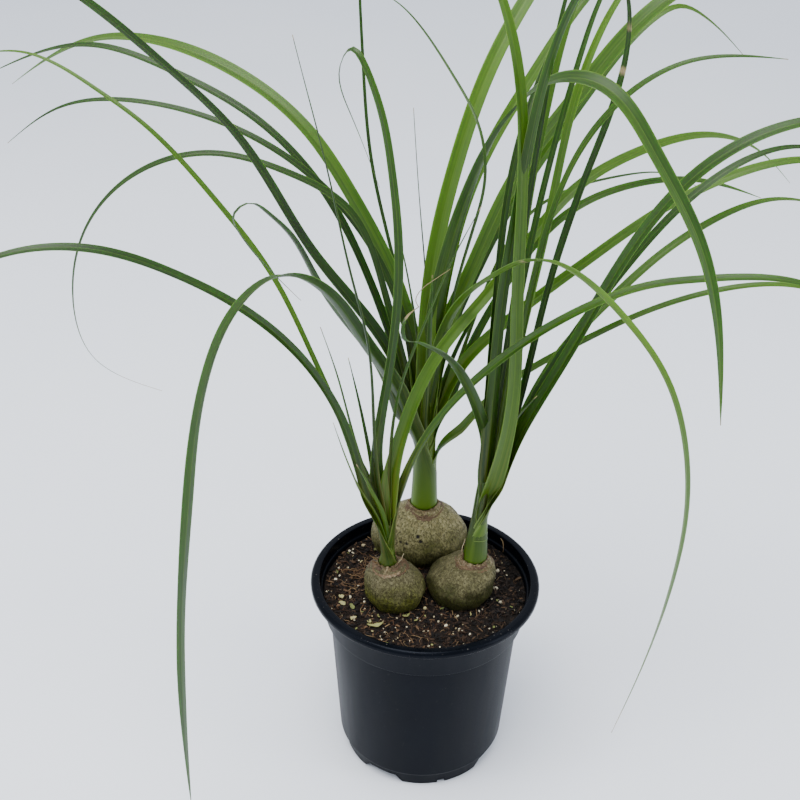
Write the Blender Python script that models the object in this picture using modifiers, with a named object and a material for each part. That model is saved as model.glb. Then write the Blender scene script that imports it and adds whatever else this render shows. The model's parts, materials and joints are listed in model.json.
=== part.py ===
"""Three ponytail palms in one round plastic nursery pot.

Metres, +Z up. The origin is the centre of the pot's flat underside, +X is to
the right and +Y to the back. The pot is filled with potting mix. Three swollen
woody bases sit in hollows in the mix, and each carries a green neck that fans
out into long strap leaves.
"""

import math
import random

import bmesh
import bpy
import numpy as np
from mathutils import Vector

MM = 0.001
GAP = 0.3 * MM

# Pot: outside radii from the rim down, and heights above the ground
RIM_RADIUS = 76.0 * MM
POT_HEIGHT = 139.0 * MM
WALL = 1.3 * MM
LIP_DEPTH = 4.5 * MM
LIP_WIDTH = 6.0 * MM
COLLAR_TOP_RADIUS = 69.3 * MM
COLLAR_BOTTOM_RADIUS = 66.9 * MM
COLLAR_STEP_HEIGHT = POT_HEIGHT - 27.0 * MM
INNER_STEP_HEIGHT = POT_HEIGHT - 7.5 * MM
BODY_TOP_RADIUS = 63.5 * MM
BODY_BOTTOM_RADIUS = 57.0 * MM
FOOT_HEIGHT = 12.0 * MM
FOOT_RADIUS = 53.0 * MM
FLOOR = 2.0 * MM
POT_STEPS = 48
DRAIN_BAYS = 4
FIRST_BAY_ANGLE = math.radians(-27.8)
BAY_WIDTH = 20.5 * MM
BAY_FLARE = 1.46
BAY_HEIGHT = 6.0 * MM
BAY_DEPTH = 6.5 * MM
BAY_REACH = 0.25 * MM
DRAIN_SLOT_WIDTH = 12.0 * MM
DRAIN_SLOT_HEIGHT = 2.4 * MM
FOOT_NOTCH_WIDTH = 5.5 * MM
FOOT_NOTCH_HEIGHT = 3.0 * MM
FOOT_NOTCH_DEPTH = 4.0 * MM

# Potting mix
MIX_EDGE_HEIGHT = 128.5 * MM
MIX_MOUND = 4.5 * MM
MIX_MOUND_RADIUS = 34.0 * MM
MIX_MOUND_CENTRE = (-1.0 * MM, 8.0 * MM)
MIX_ROUGHNESS = 0.4 * MM
MIX_RINGS = (0.1, 0.24, 0.38, 0.52, 0.66, 0.78, 0.88, 0.95)
MIX_CLEARANCE = 0.3 * MM

# Swollen bases: centre, radii across and front to back, height of the bottom, of
# the widest part and of the top, how far the top leans, neck radius and how deep
# the neck is seated, all in mm, then the powers of the curve over the shoulder
CAUDICES = {
    "left": dict(at=(-19.5, -13.6), radii=(19.7, 19.2), heights=(122.0, 140.7, 160.7),
                 lean=(-4.8, 0.4), neck=6.3, seat=1.6, shoulder=(2.3, 0.62), seed=3),
    "right": dict(at=(23.2, -6.2), radii=(22.2, 21.4), heights=(122.0, 141.0, 161.0),
                  lean=(8.6, 0.6), neck=8.1, seat=1.6, shoulder=(2.3, 0.62), seed=5),
    "back": dict(at=(-5.3, 38.0), radii=(32.3, 27.6), heights=(122.0, 147.5, 174.0),
                 lean=(2.8, 0.0), neck=9.2, seat=4.0, shoulder=(1.6, 0.8), seed=8),
}
CAUDEX_SIDES = 22
CAUDEX_RINGS = 16
BARK_RIDGE = 0.35 * MM

# Where each crown's leaves fan out, the neck's radius there, and how far up
# the neck goes on inside the fan, all in mm
FANS = {
    "left": dict(at=(-24.2, -14.0, 166.0), radius=4.6, core=26.0),
    "right": dict(at=(33.5, -5.5, 190.0), radius=5.4, core=30.0),
    "back": dict(at=(-2.5, 38.0, 215.0), radius=7.2, core=34.0),
}

# Each leaf is its azimuth in degrees from +X, its width at the base, how late it
# tapers (2 soon, 6 only near its tip), the way its midrib goes as (out, up) from
# the fan point, and how far its tip drifts to the left of that upright plane, in mm
LEAVES = {
    "back": [
        (155, 12.5, 6, [(0, 0), (26, 118), (57, 168), (84, 200), (137, 230), (193, 241), (239, 237), (320, 196)], 0),
        (190, 11.0, 6, [(0, -8), (30, 82), (73, 145), (114, 217), (150, 256), (180, 284), (228, 312), (300, 306)], 0),
        (163, 7.5, 6, [(0, 0), (41, 117), (72, 172), (115, 210), (165, 231), (215, 242), (300, 216)], 0),
        (172, 7.0, 4, [(0, 0), (36, 138), (76, 184), (131, 212), (178, 220), (225, 214), (265, 188)], 0),
        (180, 7.0, 3, [(0, 0), (30, 118), (52, 168), (84, 187), (130, 198), (174, 185), (203, 158), (222, 105),
                       (214, 60), (172, 37)], 0),
        (218, 11.0, 2, [(0, -4), (45, 87), (79, 140), (95, 172), (108, 187), (119, 194), (127, 189), (124, 178),
                        (106, 152), (83, 124)], -16),
        (226, 12.5, 9, [(0, -10), (27, 56), (52, 94), (91, 147), (121, 160), (144, 151), (166, 120), (184, 51),
                        (198, -45), (203, -180)], 0),
        (120, 2.6, 4, [(0, 0), (-29, 128), (-48, 179), (-55, 208), (-50, 226), (-21, 249), (46, 276), (85, 278)], 0),
        (130, 3.2, 5, [(0, 0), (19, 73), (38, 123), (61, 179), (71, 247), (70, 320), (58, 350)], 0),
        (45, 13.5, 6, [(0, 0), (-2, 74), (3, 141), (18, 192), (38, 236), (70, 278), (120, 312), (180, 312),
                       (225, 285)], 0),
        (-36, 13.5, 6, [(0, 0), (6, 112), (25, 185), (52, 238), (80, 260), (106, 260), (135, 235), (168, 192),
                        (195, 95)], 0),
        (30, 10.0, 6, [(0, 0), (14, 139), (32, 191), (64, 240), (95, 279), (135, 305), (185, 303), (225, 276)], 0),
        (8, 15.5, 6, [(0, 0), (7, 73), (26, 129), (53, 194), (79, 232), (108, 271), (150, 302), (205, 310),
                      (260, 282)], 0),
        (18, 11.0, 3, [(0, 0), (10, 73), (30, 126), (47, 162), (62, 187), (94, 233), (110, 254), (129, 272),
                       (143, 278), (160, 272), (190, 248)], 0),
        (5, 9.5, 6, [(0, 0), (15, 52), (45, 90), (96, 135), (138, 168), (160, 181), (220, 198), (275, 184)], 0),
        (-5, 7.0, 5, [(0, -16), (15, 10), (29, 29), (56, 58), (91, 85), (137, 114), (162, 125), (215, 134),
                      (265, 116)], 0),
        (-60, 10.0, 4, [(0, 0), (4, 39), (15, 86), (35, 121), (71, 154), (116, 181), (156, 184), (188, 177),
                        (219, 162), (241, 122), (243, 73), (216, -61)], 0),
        (40, 3.0, 5, [(0, 0), (35, 80), (83, 148), (110, 155), (155, 155), (210, 146), (250, 126)], 0),
        (20, 7.5, 6, [(0, 0), (52, 116), (88, 156), (130, 170), (175, 169), (225, 152)], 0),
        (178, 2.2, 3, [(0, 20), (2, 106), (8, 170), (13, 228)], 0),
    ],
    "left": [
        (164, 5.0, 5, [(0, 0), (29, 89), (51, 140), (74, 186), (107, 227), (152, 269), (174, 282), (220, 300),
                       (265, 292)], 0),
        (195, 9.0, 6, [(0, -4), (14, 53), (29, 104), (54, 151), (85, 184), (120, 208), (158, 225), (210, 225),
                       (255, 200)], 0),
        (205, 3.5, 3, [(0, 0), (12, 40), (27, 80), (36, 108)], 0),
        (180, 3.5, 3, [(0, 0), (12, 55), (22, 91), (32, 133), (41, 163)], 0),
        (190, 3.8, 3, [(0, 0), (6, 50), (10, 101), (14, 156), (23, 197), (35, 257), (46, 305), (52, 331)], 0),
        (150, 9.0, 3, [(0, 0), (9, 70), (1, 140), (-3, 225), (2, 262), (16, 307), (27, 319), (34, 310), (28, 285),
                       (9, 247)], 0),
        (0, 4.0, 3, [(0, 0), (0, 70), (5, 120), (20, 170), (34, 209), (48, 240)], 0),
        (30, 10.0, 5, [(0, 0), (-1, 43), (12, 101), (34, 142), (62, 170), (90, 200), (120, 228), (165, 245),
                       (210, 249), (255, 236), (295, 205)], 0),
        (-8, 9.0, 5, [(0, 0), (9, 60), (29, 105), (61, 147), (106, 186), (145, 206), (167, 211), (220, 214),
                      (270, 190)], 0),
    ],
    "right": [
        (0, 12.0, 5, [(0, -8), (15, 47), (48, 126), (83, 204), (107, 236), (148, 262), (200, 264), (245, 238)], 0),
        (26, 8.0, 5, [(0, 0), (25, 69), (50, 113), (80, 141), (117, 168), (137, 178), (190, 190), (240, 178)], 0),
        (150, 11.0, 5, [(0, -8), (-17, 95), (-15, 161), (-13, 230), (-9, 275), (5, 322), (28, 352), (60, 362)], 0),
        (10, 7.0, 6, [(0, 0), (21, 88), (31, 154), (48, 229), (61, 278), (61, 322), (46, 355)], 0),
        (246, 11.0, 3, [(-5, -14), (-13, 35), (3, 73), (32, 115), (53, 139), (73, 156), (90, 168), (108, 179),
                        (118, 186), (119, 192), (101, 195)], 0),
        (-25, 10.0, 5, [(0, 0), (4, 90), (6, 157), (12, 220), (22, 290), (45, 345), (85, 378)], 0),
        (62, 6.0, 5, [(0, 0), (1, 90), (4, 160), (12, 220), (25, 250), (50, 279), (87, 306), (130, 322),
                      (175, 314)], 0),
        (40, 5.0, 5, [(0, 0), (10, 90), (19, 175), (26, 240), (34, 297), (46, 337), (72, 366)], 0),
        (50, 6.0, 5, [(0, 0), (11, 75), (22, 148), (29, 214), (39, 260), (57, 312), (90, 345), (135, 355)], 0),
        (33, 6.0, 5, [(0, 0), (10, 80), (19, 151), (31, 222), (48, 290), (65, 330), (98, 358)], 0),
        (25, 7.5, 5, [(0, 0), (12, 75), (22, 139), (33, 206), (49, 290), (77, 335), (120, 358)], 0),
        (-5, 8.0, 5, [(0, 0), (10, 31), (15, 90), (22, 163), (30, 212), (50, 262), (90, 296), (140, 300)], 0),
        (15, 8.0, 6, [(0, 0), (17, 51), (33, 92), (66, 150), (92, 186), (119, 214), (165, 236), (215, 228)], 0),
    ],
}

# Young leaves in the middle of each crown follow a rule: how many, and the
# ranges of azimuth, starting lean and final lean in degrees, length and width
SEEDED_LEAVES = {
    "back": dict(count=4, azimuth=(-80, 200), lean=(3, 10), droop=(14, 50), length=(110, 190),
                 width=(4, 7), seed=11),
    "left": dict(count=3, azimuth=(60, 280), lean=(4, 12), droop=(16, 50), length=(80, 140),
                 width=(3, 5), seed=23),
    "right": dict(count=3, azimuth=(-60, 120), lean=(3, 10), droop=(14, 40), length=(100, 170),
                  width=(4, 6), seed=37),
}
SEEDED_TAPER = 3
AZIMUTH_STEP = 7.0
OTHER_PLANT_CLEARANCE = 3.0 * MM

# Blades: sections along, thickness under the midrib, depth of the channel over
# the width, the tip, and how much narrower a leaf gets over its wide base
LEAF_SEGMENTS_LEAST = 6
LEAF_SEGMENTS_MOST = 18
TURN_PER_SEGMENT = math.radians(15.0)
LEAF_THICKNESS = 0.9 * MM
CHANNEL = 0.14
TIP_WIDTH = 1.2 * MM
WIDE_BASE_SHARE = 0.35
BASE_EXTRA = 0.3


def clear_scene():
    for thing in list(bpy.data.objects):
        bpy.data.objects.remove(thing, do_unlink=True)


def material(name, colour, roughness, coat=0.0):
    made = bpy.data.materials.new(name)
    made.use_nodes = True
    shader = made.node_tree.nodes["Principled BSDF"]
    shader.inputs["Base Color"].default_value = (*colour, 1.0)
    shader.inputs["Roughness"].default_value = roughness
    shader.inputs["Metallic"].default_value = 0.0
    shader.inputs["Coat Weight"].default_value = coat
    return made


def add_object(name, mesh, collection, surface=None):
    made = bpy.data.objects.new(name, mesh)
    collection.objects.link(made)
    if surface is not None:
        mesh.materials.append(surface)
    return made


def mesh_from(name, fill):
    """A new mesh from a bmesh that the function fill builds."""
    work = bmesh.new()
    fill(work)
    mesh = bpy.data.meshes.new(name)
    work.to_mesh(mesh)
    work.free()
    return mesh


def apply_modifiers(target):
    """Replace an object's mesh by its evaluated one and drop its modifiers."""
    evaluated = target.evaluated_get(bpy.context.evaluated_depsgraph_get())
    mesh = bpy.data.meshes.new_from_object(evaluated)
    target.modifiers.clear()
    target.data = mesh


def cut(target, cutters, operation="DIFFERENCE"):
    """Boolean a target with every object of a collection, then drop those."""
    modifier = target.modifiers.new("Boolean", "BOOLEAN")
    modifier.operation = operation
    modifier.operand_type = "COLLECTION"
    modifier.collection = cutters
    modifier.solver = "EXACT"
    apply_modifiers(target)
    for thing in list(cutters.objects):
        bpy.data.objects.remove(thing, do_unlink=True)


def new_collection(name):
    made = bpy.data.collections.new(name)
    bpy.context.scene.collection.children.link(made)
    return made


def turned(name, profile, steps, collection, surface=None):
    """A solid of revolution about Z from (radius, height) points.

    The points run from the axis up the inside and down the outside, so that
    the faces look outward.
    """
    mesh = bpy.data.meshes.new(name)
    points = [(radius, 0.0, height) for radius, height in profile]
    mesh.from_pydata(points, [(i, i + 1) for i in range(len(points) - 1)], [])
    made = add_object(name, mesh, collection, surface)
    screw = made.modifiers.new("Turn", "SCREW")
    screw.steps = steps
    screw.render_steps = steps
    screw.use_merge_vertices = True
    screw.merge_threshold = 0.01 * MM
    apply_modifiers(made)
    return made


def box(name, size, at, turn, collection, flare=1.0):
    """A box turned about Z, its centre at a radius and height in that turn.

    A flare over 1 widens its underside by that factor.
    """
    radius, height = at

    def fill(work):
        bmesh.ops.create_cube(work, size=1.0)
        bmesh.ops.scale(work, vec=size, verts=work.verts)
        for vertex in work.verts:
            if vertex.co.z < 0.0:
                vertex.co.y *= flare

    made = add_object(name, mesh_from(name, fill), collection)
    made.location = (radius * math.cos(turn), radius * math.sin(turn), height)
    made.rotation_euler = (0.0, 0.0, turn)
    return made


def bay_housing(turn, collection):
    """The material round one bay: a block whose front follows the foot's wall."""
    front = FOOT_RADIUS - BAY_REACH
    back = FOOT_RADIUS - BAY_DEPTH - WALL
    width = BAY_WIDTH * BAY_FLARE + 2.0 * WALL
    low, high = 0.4 * MM, BAY_HEIGHT + WALL

    def fill(work):
        bmesh.ops.create_cube(work, size=1.0)
        along = [edge for edge in work.edges if abs(edge.verts[0].co.y - edge.verts[1].co.y) > 0.5]
        bmesh.ops.subdivide_edges(work, edges=along, cuts=9, use_grid_fill=True)
        for vertex in work.verts:
            y = vertex.co.y * width
            x = math.sqrt(front * front - y * y) if vertex.co.x > 0.0 else back
            vertex.co = (x, y, high if vertex.co.z > 0.0 else low)

    made = add_object("housing", mesh_from("housing", fill), collection)
    made.rotation_euler = (0.0, 0.0, turn)
    return made


def bay_angles():
    """Bays evenly round the foot."""
    spacing = 2.0 * math.pi / DRAIN_BAYS
    return [FIRST_BAY_ANGLE + spacing * k for k in range(DRAIN_BAYS)]


def pot_outside():
    """Radius and height from the lip's top down to the ground."""
    lip = 1.6 * MM
    return [
        (RIM_RADIUS - LIP_WIDTH + 0.8 * MM, POT_HEIGHT),
        (RIM_RADIUS - lip, POT_HEIGHT),
        (RIM_RADIUS - 0.45 * MM, POT_HEIGHT - 0.5 * MM),
        (RIM_RADIUS, POT_HEIGHT - lip),
        (RIM_RADIUS, POT_HEIGHT - LIP_DEPTH + 0.9 * MM),
        (RIM_RADIUS - 0.9 * MM, POT_HEIGHT - LIP_DEPTH),
        (COLLAR_TOP_RADIUS + 1.6 * MM, POT_HEIGHT - LIP_DEPTH),
        (COLLAR_TOP_RADIUS + 1.4 * MM, INNER_STEP_HEIGHT),
        (COLLAR_TOP_RADIUS, INNER_STEP_HEIGHT - 1.0 * MM),
        (COLLAR_BOTTOM_RADIUS, COLLAR_STEP_HEIGHT + 0.8 * MM),
        (COLLAR_BOTTOM_RADIUS - 0.6 * MM, COLLAR_STEP_HEIGHT),
        (BODY_TOP_RADIUS + 0.4 * MM, COLLAR_STEP_HEIGHT),
        (BODY_TOP_RADIUS, COLLAR_STEP_HEIGHT - 0.8 * MM),
        (BODY_BOTTOM_RADIUS, FOOT_HEIGHT + 0.5 * MM),
        (BODY_BOTTOM_RADIUS - 0.8 * MM, FOOT_HEIGHT - 0.5 * MM),
        (FOOT_RADIUS + 1.6 * MM, FOOT_HEIGHT - 0.9 * MM),
        (FOOT_RADIUS + 0.5 * MM, 0.5 * MM),
        (FOOT_RADIUS, 0.0),
        (0.0, 0.0),
    ]


def pot_inside():
    """Radius and height from the middle of the floor up to the lip."""
    return [
        (0.0, FLOOR),
        (FOOT_RADIUS - WALL - 0.6 * MM, FLOOR),
        (FOOT_RADIUS - WALL + 0.3 * MM, FLOOR + 0.8 * MM),
        (FOOT_RADIUS + 1.2 * MM - WALL, FOOT_HEIGHT - 0.2 * MM),
        (BODY_BOTTOM_RADIUS - 0.2 * MM - WALL, FOOT_HEIGHT + 1.2 * MM),
        (BODY_TOP_RADIUS - 0.3 * MM - WALL, COLLAR_STEP_HEIGHT + WALL - 0.4 * MM),
        (COLLAR_BOTTOM_RADIUS - 0.5 * MM - WALL, COLLAR_STEP_HEIGHT + WALL + 0.6 * MM),
        (COLLAR_TOP_RADIUS - 0.2 * MM - WALL, INNER_STEP_HEIGHT - 0.4 * MM),
        (RIM_RADIUS - LIP_WIDTH - 0.5 * MM, INNER_STEP_HEIGHT + 0.6 * MM),
        (RIM_RADIUS - LIP_WIDTH, POT_HEIGHT - 0.7 * MM),
    ]


def build_pot(collection, surface):
    """The pot: a turned shell with drain bays pressed into its foot."""
    pot = turned("pot", pot_inside() + pot_outside(), POT_STEPS, collection, surface)
    bays = new_collection("bays")
    for turn in bay_angles():
        bay_housing(turn, bays)
    cut(pot, bays, "UNION")
    inner = FOOT_RADIUS - BAY_DEPTH
    outer = BODY_BOTTOM_RADIUS + BAY_DEPTH
    half_spacing = math.pi / DRAIN_BAYS
    for turn in bay_angles():
        recess = (outer - inner, BAY_WIDTH, 2.0 * BAY_HEIGHT)
        box("recess", recess, ((outer + inner) / 2.0, 0.0), turn, bays, 2.0 * BAY_FLARE - 1.0)
        slot = (4.0 * WALL, DRAIN_SLOT_WIDTH, DRAIN_SLOT_HEIGHT)
        box("slot", slot, (inner, FLOOR + WALL / 4.0 + slot[2] / 2.0), turn, bays)
        notch = (FOOT_NOTCH_DEPTH, FOOT_NOTCH_WIDTH, 2.0 * FOOT_NOTCH_HEIGHT)
        box("notch", notch, (FOOT_RADIUS, 0.0), turn + half_spacing, bays)
    cut(pot, bays)
    bpy.data.collections.remove(bays)
    return pot


def mix_height(x, y):
    """Top of the potting mix: a low mound round the plants, slightly rough."""
    away = math.hypot(x - MIX_MOUND_CENTRE[0], y - MIX_MOUND_CENTRE[1]) / MIX_MOUND_RADIUS
    mound = MIX_MOUND * math.exp(-away * away * 1.4)
    hollows = math.sin(x * 410.0 + 1.3) * math.cos(y * 370.0)
    ripples = 0.6 * math.sin(x * 790.0 - y * 640.0)
    return MIX_EDGE_HEIGHT + mound + MIX_ROUGHNESS * (hollows + ripples)


def build_mix(collection, surface, caudices):
    """Potting mix: fills the pot, with a hollow for each swollen base."""
    inside = WALL + MIX_CLEARANCE + GAP
    low = FOOT_RADIUS - BAY_DEPTH - WALL - 0.5 * MM
    shelf = FOOT_HEIGHT + 1.6 * MM
    edge = COLLAR_TOP_RADIUS - inside - 0.3 * MM
    top = [(0.0, MIX_EDGE_HEIGHT)]
    top += [(edge * part, MIX_EDGE_HEIGHT) for part in MIX_RINGS]
    side = [
        (edge, MIX_EDGE_HEIGHT),
        (COLLAR_BOTTOM_RADIUS - inside - 0.7 * MM, COLLAR_STEP_HEIGHT + WALL + 1.4 * MM),
        (BODY_TOP_RADIUS - inside - 0.4 * MM, COLLAR_STEP_HEIGHT + 1.0 * MM),
        (BODY_BOTTOM_RADIUS - inside - 0.3 * MM, shelf),
        (low, shelf),
        (low, FLOOR + GAP),
        (0.0, FLOOR + GAP),
    ]
    mix = turned("potting_mix", top + side, POT_STEPS, collection, surface)
    for vertex in mix.data.vertices:
        if vertex.co.z > MIX_EDGE_HEIGHT - 0.01 * MM:
            vertex.co.z = mix_height(vertex.co.x, vertex.co.y)
    hollows = new_collection("hollows")
    for name, base in caudices.items():
        hollow = add_object("hollow_" + name, base.data.copy(), hollows)
        for vertex in hollow.data.vertices:
            vertex.co += vertex.normal * GAP * 1.3
    cut(mix, hollows)
    bpy.data.collections.remove(hollows)
    return mix


def onion_radius(rise, shoulder):
    """Radius over the widest one, from the widest height (0) to the top (1)."""
    fall, fullness = shoulder
    return (1.0 - rise ** fall) ** fullness


def caudex_point(base, phases, unit):
    """Where a point of the unit sphere goes on a swollen base."""
    low, wide, top = (height * MM for height in base["heights"])
    across, deep = (radius * MM for radius in base["radii"])
    x, y, z = unit
    turn = math.atan2(y, x)
    flat = math.hypot(x, y)
    if z > 0.0:
        rise = math.asin(min(1.0, z)) / (math.pi / 2.0)
        spread = onion_radius(rise, base["shoulder"])
        height = wide + (top - wide) * rise
        drift = rise * rise * (3.0 - 2.0 * rise)
    else:
        spread = flat
        height = wide + (wide - low) * z
        drift = 0.0
    ridge = math.sin(9.0 * turn + phases[0]) + 0.7 * math.sin(5.0 * turn + 7.0 * z + phases[1])
    swell = spread * (1.0 + 0.016 * math.sin(2.0 * turn + phases[2]))
    bark = BARK_RIDGE * ridge * flat
    if flat < 1e-4:
        swell = bark = 0.0
    return (base["at"][0] * MM + drift * base["lean"][0] * MM + (across * swell + bark) * math.cos(turn),
            base["at"][1] * MM + drift * base["lean"][1] * MM + (deep * swell + bark) * math.sin(turn),
            height)


def build_caudex(name, base, collection, surface):
    """One swollen base: a squat onion with faint bark ridges and a neck seat."""
    random.seed(base["seed"])
    phases = [random.uniform(0.0, 2.0 * math.pi) for _ in range(3)]

    def fill(work):
        bmesh.ops.create_uvsphere(work, u_segments=CAUDEX_SIDES, v_segments=CAUDEX_RINGS, radius=1.0)
        for vertex in work.verts:
            vertex.co = caudex_point(base, phases, vertex.co)

    caudex = add_object("caudex_" + name, mesh_from("caudex_" + name, fill), collection, surface)
    seats = new_collection("seats")
    new_seat_cutter(base["neck"] * MM + GAP, neck_foot(name), seats)
    cut(caudex, seats)
    bpy.data.collections.remove(seats)
    caudex.data.shade_smooth()
    return caudex


def neck_foot(name):
    """Middle of the flat bottom end of a neck, in its seat."""
    base = CAUDICES[name]
    x = base["at"][0] + base["lean"][0]
    y = base["at"][1] + base["lean"][1]
    return Vector((x, y, base["heights"][2])) * MM - Vector((0.0, 0.0, base["seat"] * MM))


def new_seat_cutter(radius, foot, collection):
    """An upright plug that sinks the seat into the top of a swollen base."""
    depth = 30.0 * MM

    def fill(work):
        bmesh.ops.create_cone(work, segments=20, cap_ends=True, radius1=radius, radius2=radius * 1.5, depth=depth)

    cutter = add_object("seat", mesh_from("seat", fill), collection)
    cutter.location = foot + Vector((0.0, 0.0, depth / 2.0 - GAP))
    return cutter


def natural_spline(knots, count):
    """Points evenly spaced in parameter on a natural cubic through the knots."""
    knots = np.asarray(knots, dtype=float)
    steps = np.linalg.norm(np.diff(knots, axis=0), axis=1)
    at = np.concatenate([[0.0], np.cumsum(steps)])
    size = len(knots)
    matrix = np.eye(size)
    right = np.zeros_like(knots)
    for k in range(1, size - 1):
        before, after = steps[k - 1], steps[k]
        matrix[k, k - 1: k + 2] = (before, 2.0 * (before + after), after)
        right[k] = 6.0 * ((knots[k + 1] - knots[k]) / after - (knots[k] - knots[k - 1]) / before)
    bend = np.linalg.solve(matrix, right)
    wanted = np.linspace(0.0, at[-1], count)
    index = np.clip(np.searchsorted(at, wanted, side="right") - 1, 0, size - 2)
    span = steps[index][:, None]
    ahead = (at[index + 1] - wanted)[:, None]
    past = (wanted - at[index])[:, None]
    return (bend[index] * ahead ** 3 / (6.0 * span) + bend[index + 1] * past ** 3 / (6.0 * span)
            + (knots[index] / span - bend[index] * span / 6.0) * ahead
            + (knots[index + 1] / span - bend[index + 1] * span / 6.0) * past)


def arched_route(length, lean, droop, bend):
    """(out, up) knots of a leaf whose lean grows from lean to droop degrees."""
    parts = 20
    out = up = 0.0
    knots = [(0.0, 0.0)]
    for k in range(parts):
        share = ((k + 0.5) / parts) ** bend
        angle = math.radians(lean + (droop - lean) * share)
        out += math.sin(angle) * length / parts
        up += math.cos(angle) * length / parts
        if (k + 1) % 4 == 0:
            knots.append((out, up))
    return knots


def leaf_midrib(fan, leaf, count):
    """World points of a leaf's midrib and its level sideways direction."""
    azimuth, _, _, route, drift = leaf
    turn = math.radians(azimuth)
    outward = np.array((math.cos(turn), math.sin(turn), 0.0))
    sideways = np.array((-math.sin(turn), math.cos(turn), 0.0))
    path = natural_spline(route, count)
    part = np.linspace(0.0, 1.0, count)[:, None]
    points = (np.array(fan["at"]) + path[:, :1] * outward + path[:, 1:] * np.array((0.0, 0.0, 1.0))
              + drift * part ** 2 * sideways)
    return points * MM, sideways


def leaf_width(part, leaf):
    """Width at a share of the length: narrower past the base, then a taper."""
    _, width, taper, _, _ = leaf
    settled = min(1.0, part / WIDE_BASE_SHARE)
    narrowed = 1.0 - BASE_EXTRA * settled * settled * (3.0 - 2.0 * settled)
    return max(TIP_WIDTH, width * MM * narrowed * (1.0 - part ** taper) ** 0.85)


def leaf_segments(fan, leaf):
    """More segments for a leaf that arches further round."""
    points, _ = leaf_midrib(fan, leaf, 40)
    ways = np.diff(points, axis=0)
    ways /= np.linalg.norm(ways, axis=1)[:, None]
    turned_by = np.arccos(np.clip((ways[1:] * ways[:-1]).sum(axis=1), -1.0, 1.0)).sum()
    return min(LEAF_SEGMENTS_MOST, LEAF_SEGMENTS_LEAST + int(turned_by / TURN_PER_SEGMENT))


def build_blade(fan, leaf, collection):
    """One strap leaf: a channelled blade with a keel under its midrib."""
    segments = leaf_segments(fan, leaf)
    count = segments + 1
    points, sideways = leaf_midrib(fan, leaf, count)
    tangents = np.gradient(points, axis=0)
    tangents /= np.linalg.norm(tangents, axis=1)[:, None]
    sections = []
    for k in range(count):
        part = k / segments
        wide = leaf_width(part, leaf)
        across = sideways - tangents[k] * float(sideways @ tangents[k])
        across /= np.linalg.norm(across)
        above = np.cross(tangents[k], across)
        rise = wide * CHANNEL * (1.0 - 0.7 * part) * above
        sections.append((points[k] + across * wide / 2.0 + rise, points[k],
                         points[k] - across * wide / 2.0 + rise, points[k] - above * LEAF_THICKNESS))

    def fill(work):
        rows = [[work.verts.new(corner) for corner in section] for section in sections]
        for near, far in zip(rows[:-1], rows[1:]):
            for a, b in ((0, 1), (2, 1), (0, 3), (2, 3)):
                flip = (a, b) in ((0, 1), (2, 3))
                first = (near[a], near[b], far[b])
                second = (near[a], far[b], far[a])
                for corners in (first, second):
                    work.faces.new(corners if flip else corners[::-1])
        for row, flip in ((rows[0], False), (rows[-1], True)):
            for corners in ((row[0], row[1], row[3]), (row[1], row[2], row[3])):
                work.faces.new(corners if flip else corners[::-1])
        bmesh.ops.recalc_face_normals(work, faces=work.faces)

    return add_object("blade", mesh_from("blade", fill), collection)


def build_neck(name, collection, surface):
    """The neck: sheathed leaf bases that rise from the seat into the fan."""
    base = CAUDICES[name]
    fan = FANS[name]
    foot = neck_foot(name)
    middle = Vector(fan["at"]) * MM
    head = middle + (middle - foot).normalized() * fan["core"] * MM
    knots = [foot, foot + Vector((0.0, 0.0, 3.0 * MM)), foot.lerp(middle, 0.5), middle, head]
    radii = [base["neck"], base["neck"], (base["neck"] + fan["radius"]) / 2.0, fan["radius"], 2.4]
    curve = bpy.data.curves.new("neck", "CURVE")
    curve.dimensions = "3D"
    curve.bevel_depth = MM
    curve.bevel_resolution = 4
    curve.use_fill_caps = True
    line = curve.splines.new("POLY")
    line.points.add(len(knots) - 1)
    for point, knot, radius in zip(line.points, knots, radii):
        point.co = (*knot, 1.0)
        point.radius = radius
    drawn = bpy.data.objects.new("neck_curve", curve)
    bpy.context.scene.collection.objects.link(drawn)
    evaluated = drawn.evaluated_get(bpy.context.evaluated_depsgraph_get())
    mesh = bpy.data.meshes.new_from_object(evaluated)
    bpy.data.objects.remove(drawn, do_unlink=True)
    work = bmesh.new()
    work.from_mesh(mesh)
    bmesh.ops.remove_doubles(work, verts=work.verts, dist=0.01 * MM)
    work.to_mesh(mesh)
    work.free()
    mesh.materials.clear()
    return add_object("crown_" + name, mesh, collection, surface)


def seeded_leaves(name, placed):
    """Leaves by rule, each turned until it is clear of the other plants."""
    rule = SEEDED_LEAVES[name]
    source = random.Random(rule["seed"])
    low, high = rule["azimuth"]
    leaves = []
    for k in range(rule["count"]):
        azimuth = low + (high - low) * (k + source.uniform(0.2, 0.8)) / rule["count"]
        route = arched_route(source.uniform(*rule["length"]), source.uniform(*rule["lean"]),
                             source.uniform(*rule["droop"]), source.uniform(1.2, 2.0))
        width = source.uniform(*rule["width"])
        for turn in (0, 1, -1, 2, -2, 3, -3, 4, -4, 5, -5, 6, -6):
            leaf = (azimuth + turn * AZIMUTH_STEP, width, SEEDED_TAPER, route, 0.0)
            points, _ = leaf_midrib(FANS[name], leaf, 60)
            if all(clearance(points, other) > OTHER_PLANT_CLEARANCE + (width + wide) * MM / 2.0
                   for plant, other, wide in placed if plant != name):
                leaves.append(leaf)
                placed.append((name, points, width))
                break
    return leaves


def clearance(first, second):
    """Least distance between two rows of points."""
    return float(np.sqrt(((first[:, None, :] - second[None, :, :]) ** 2).sum(axis=2)).min())


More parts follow.
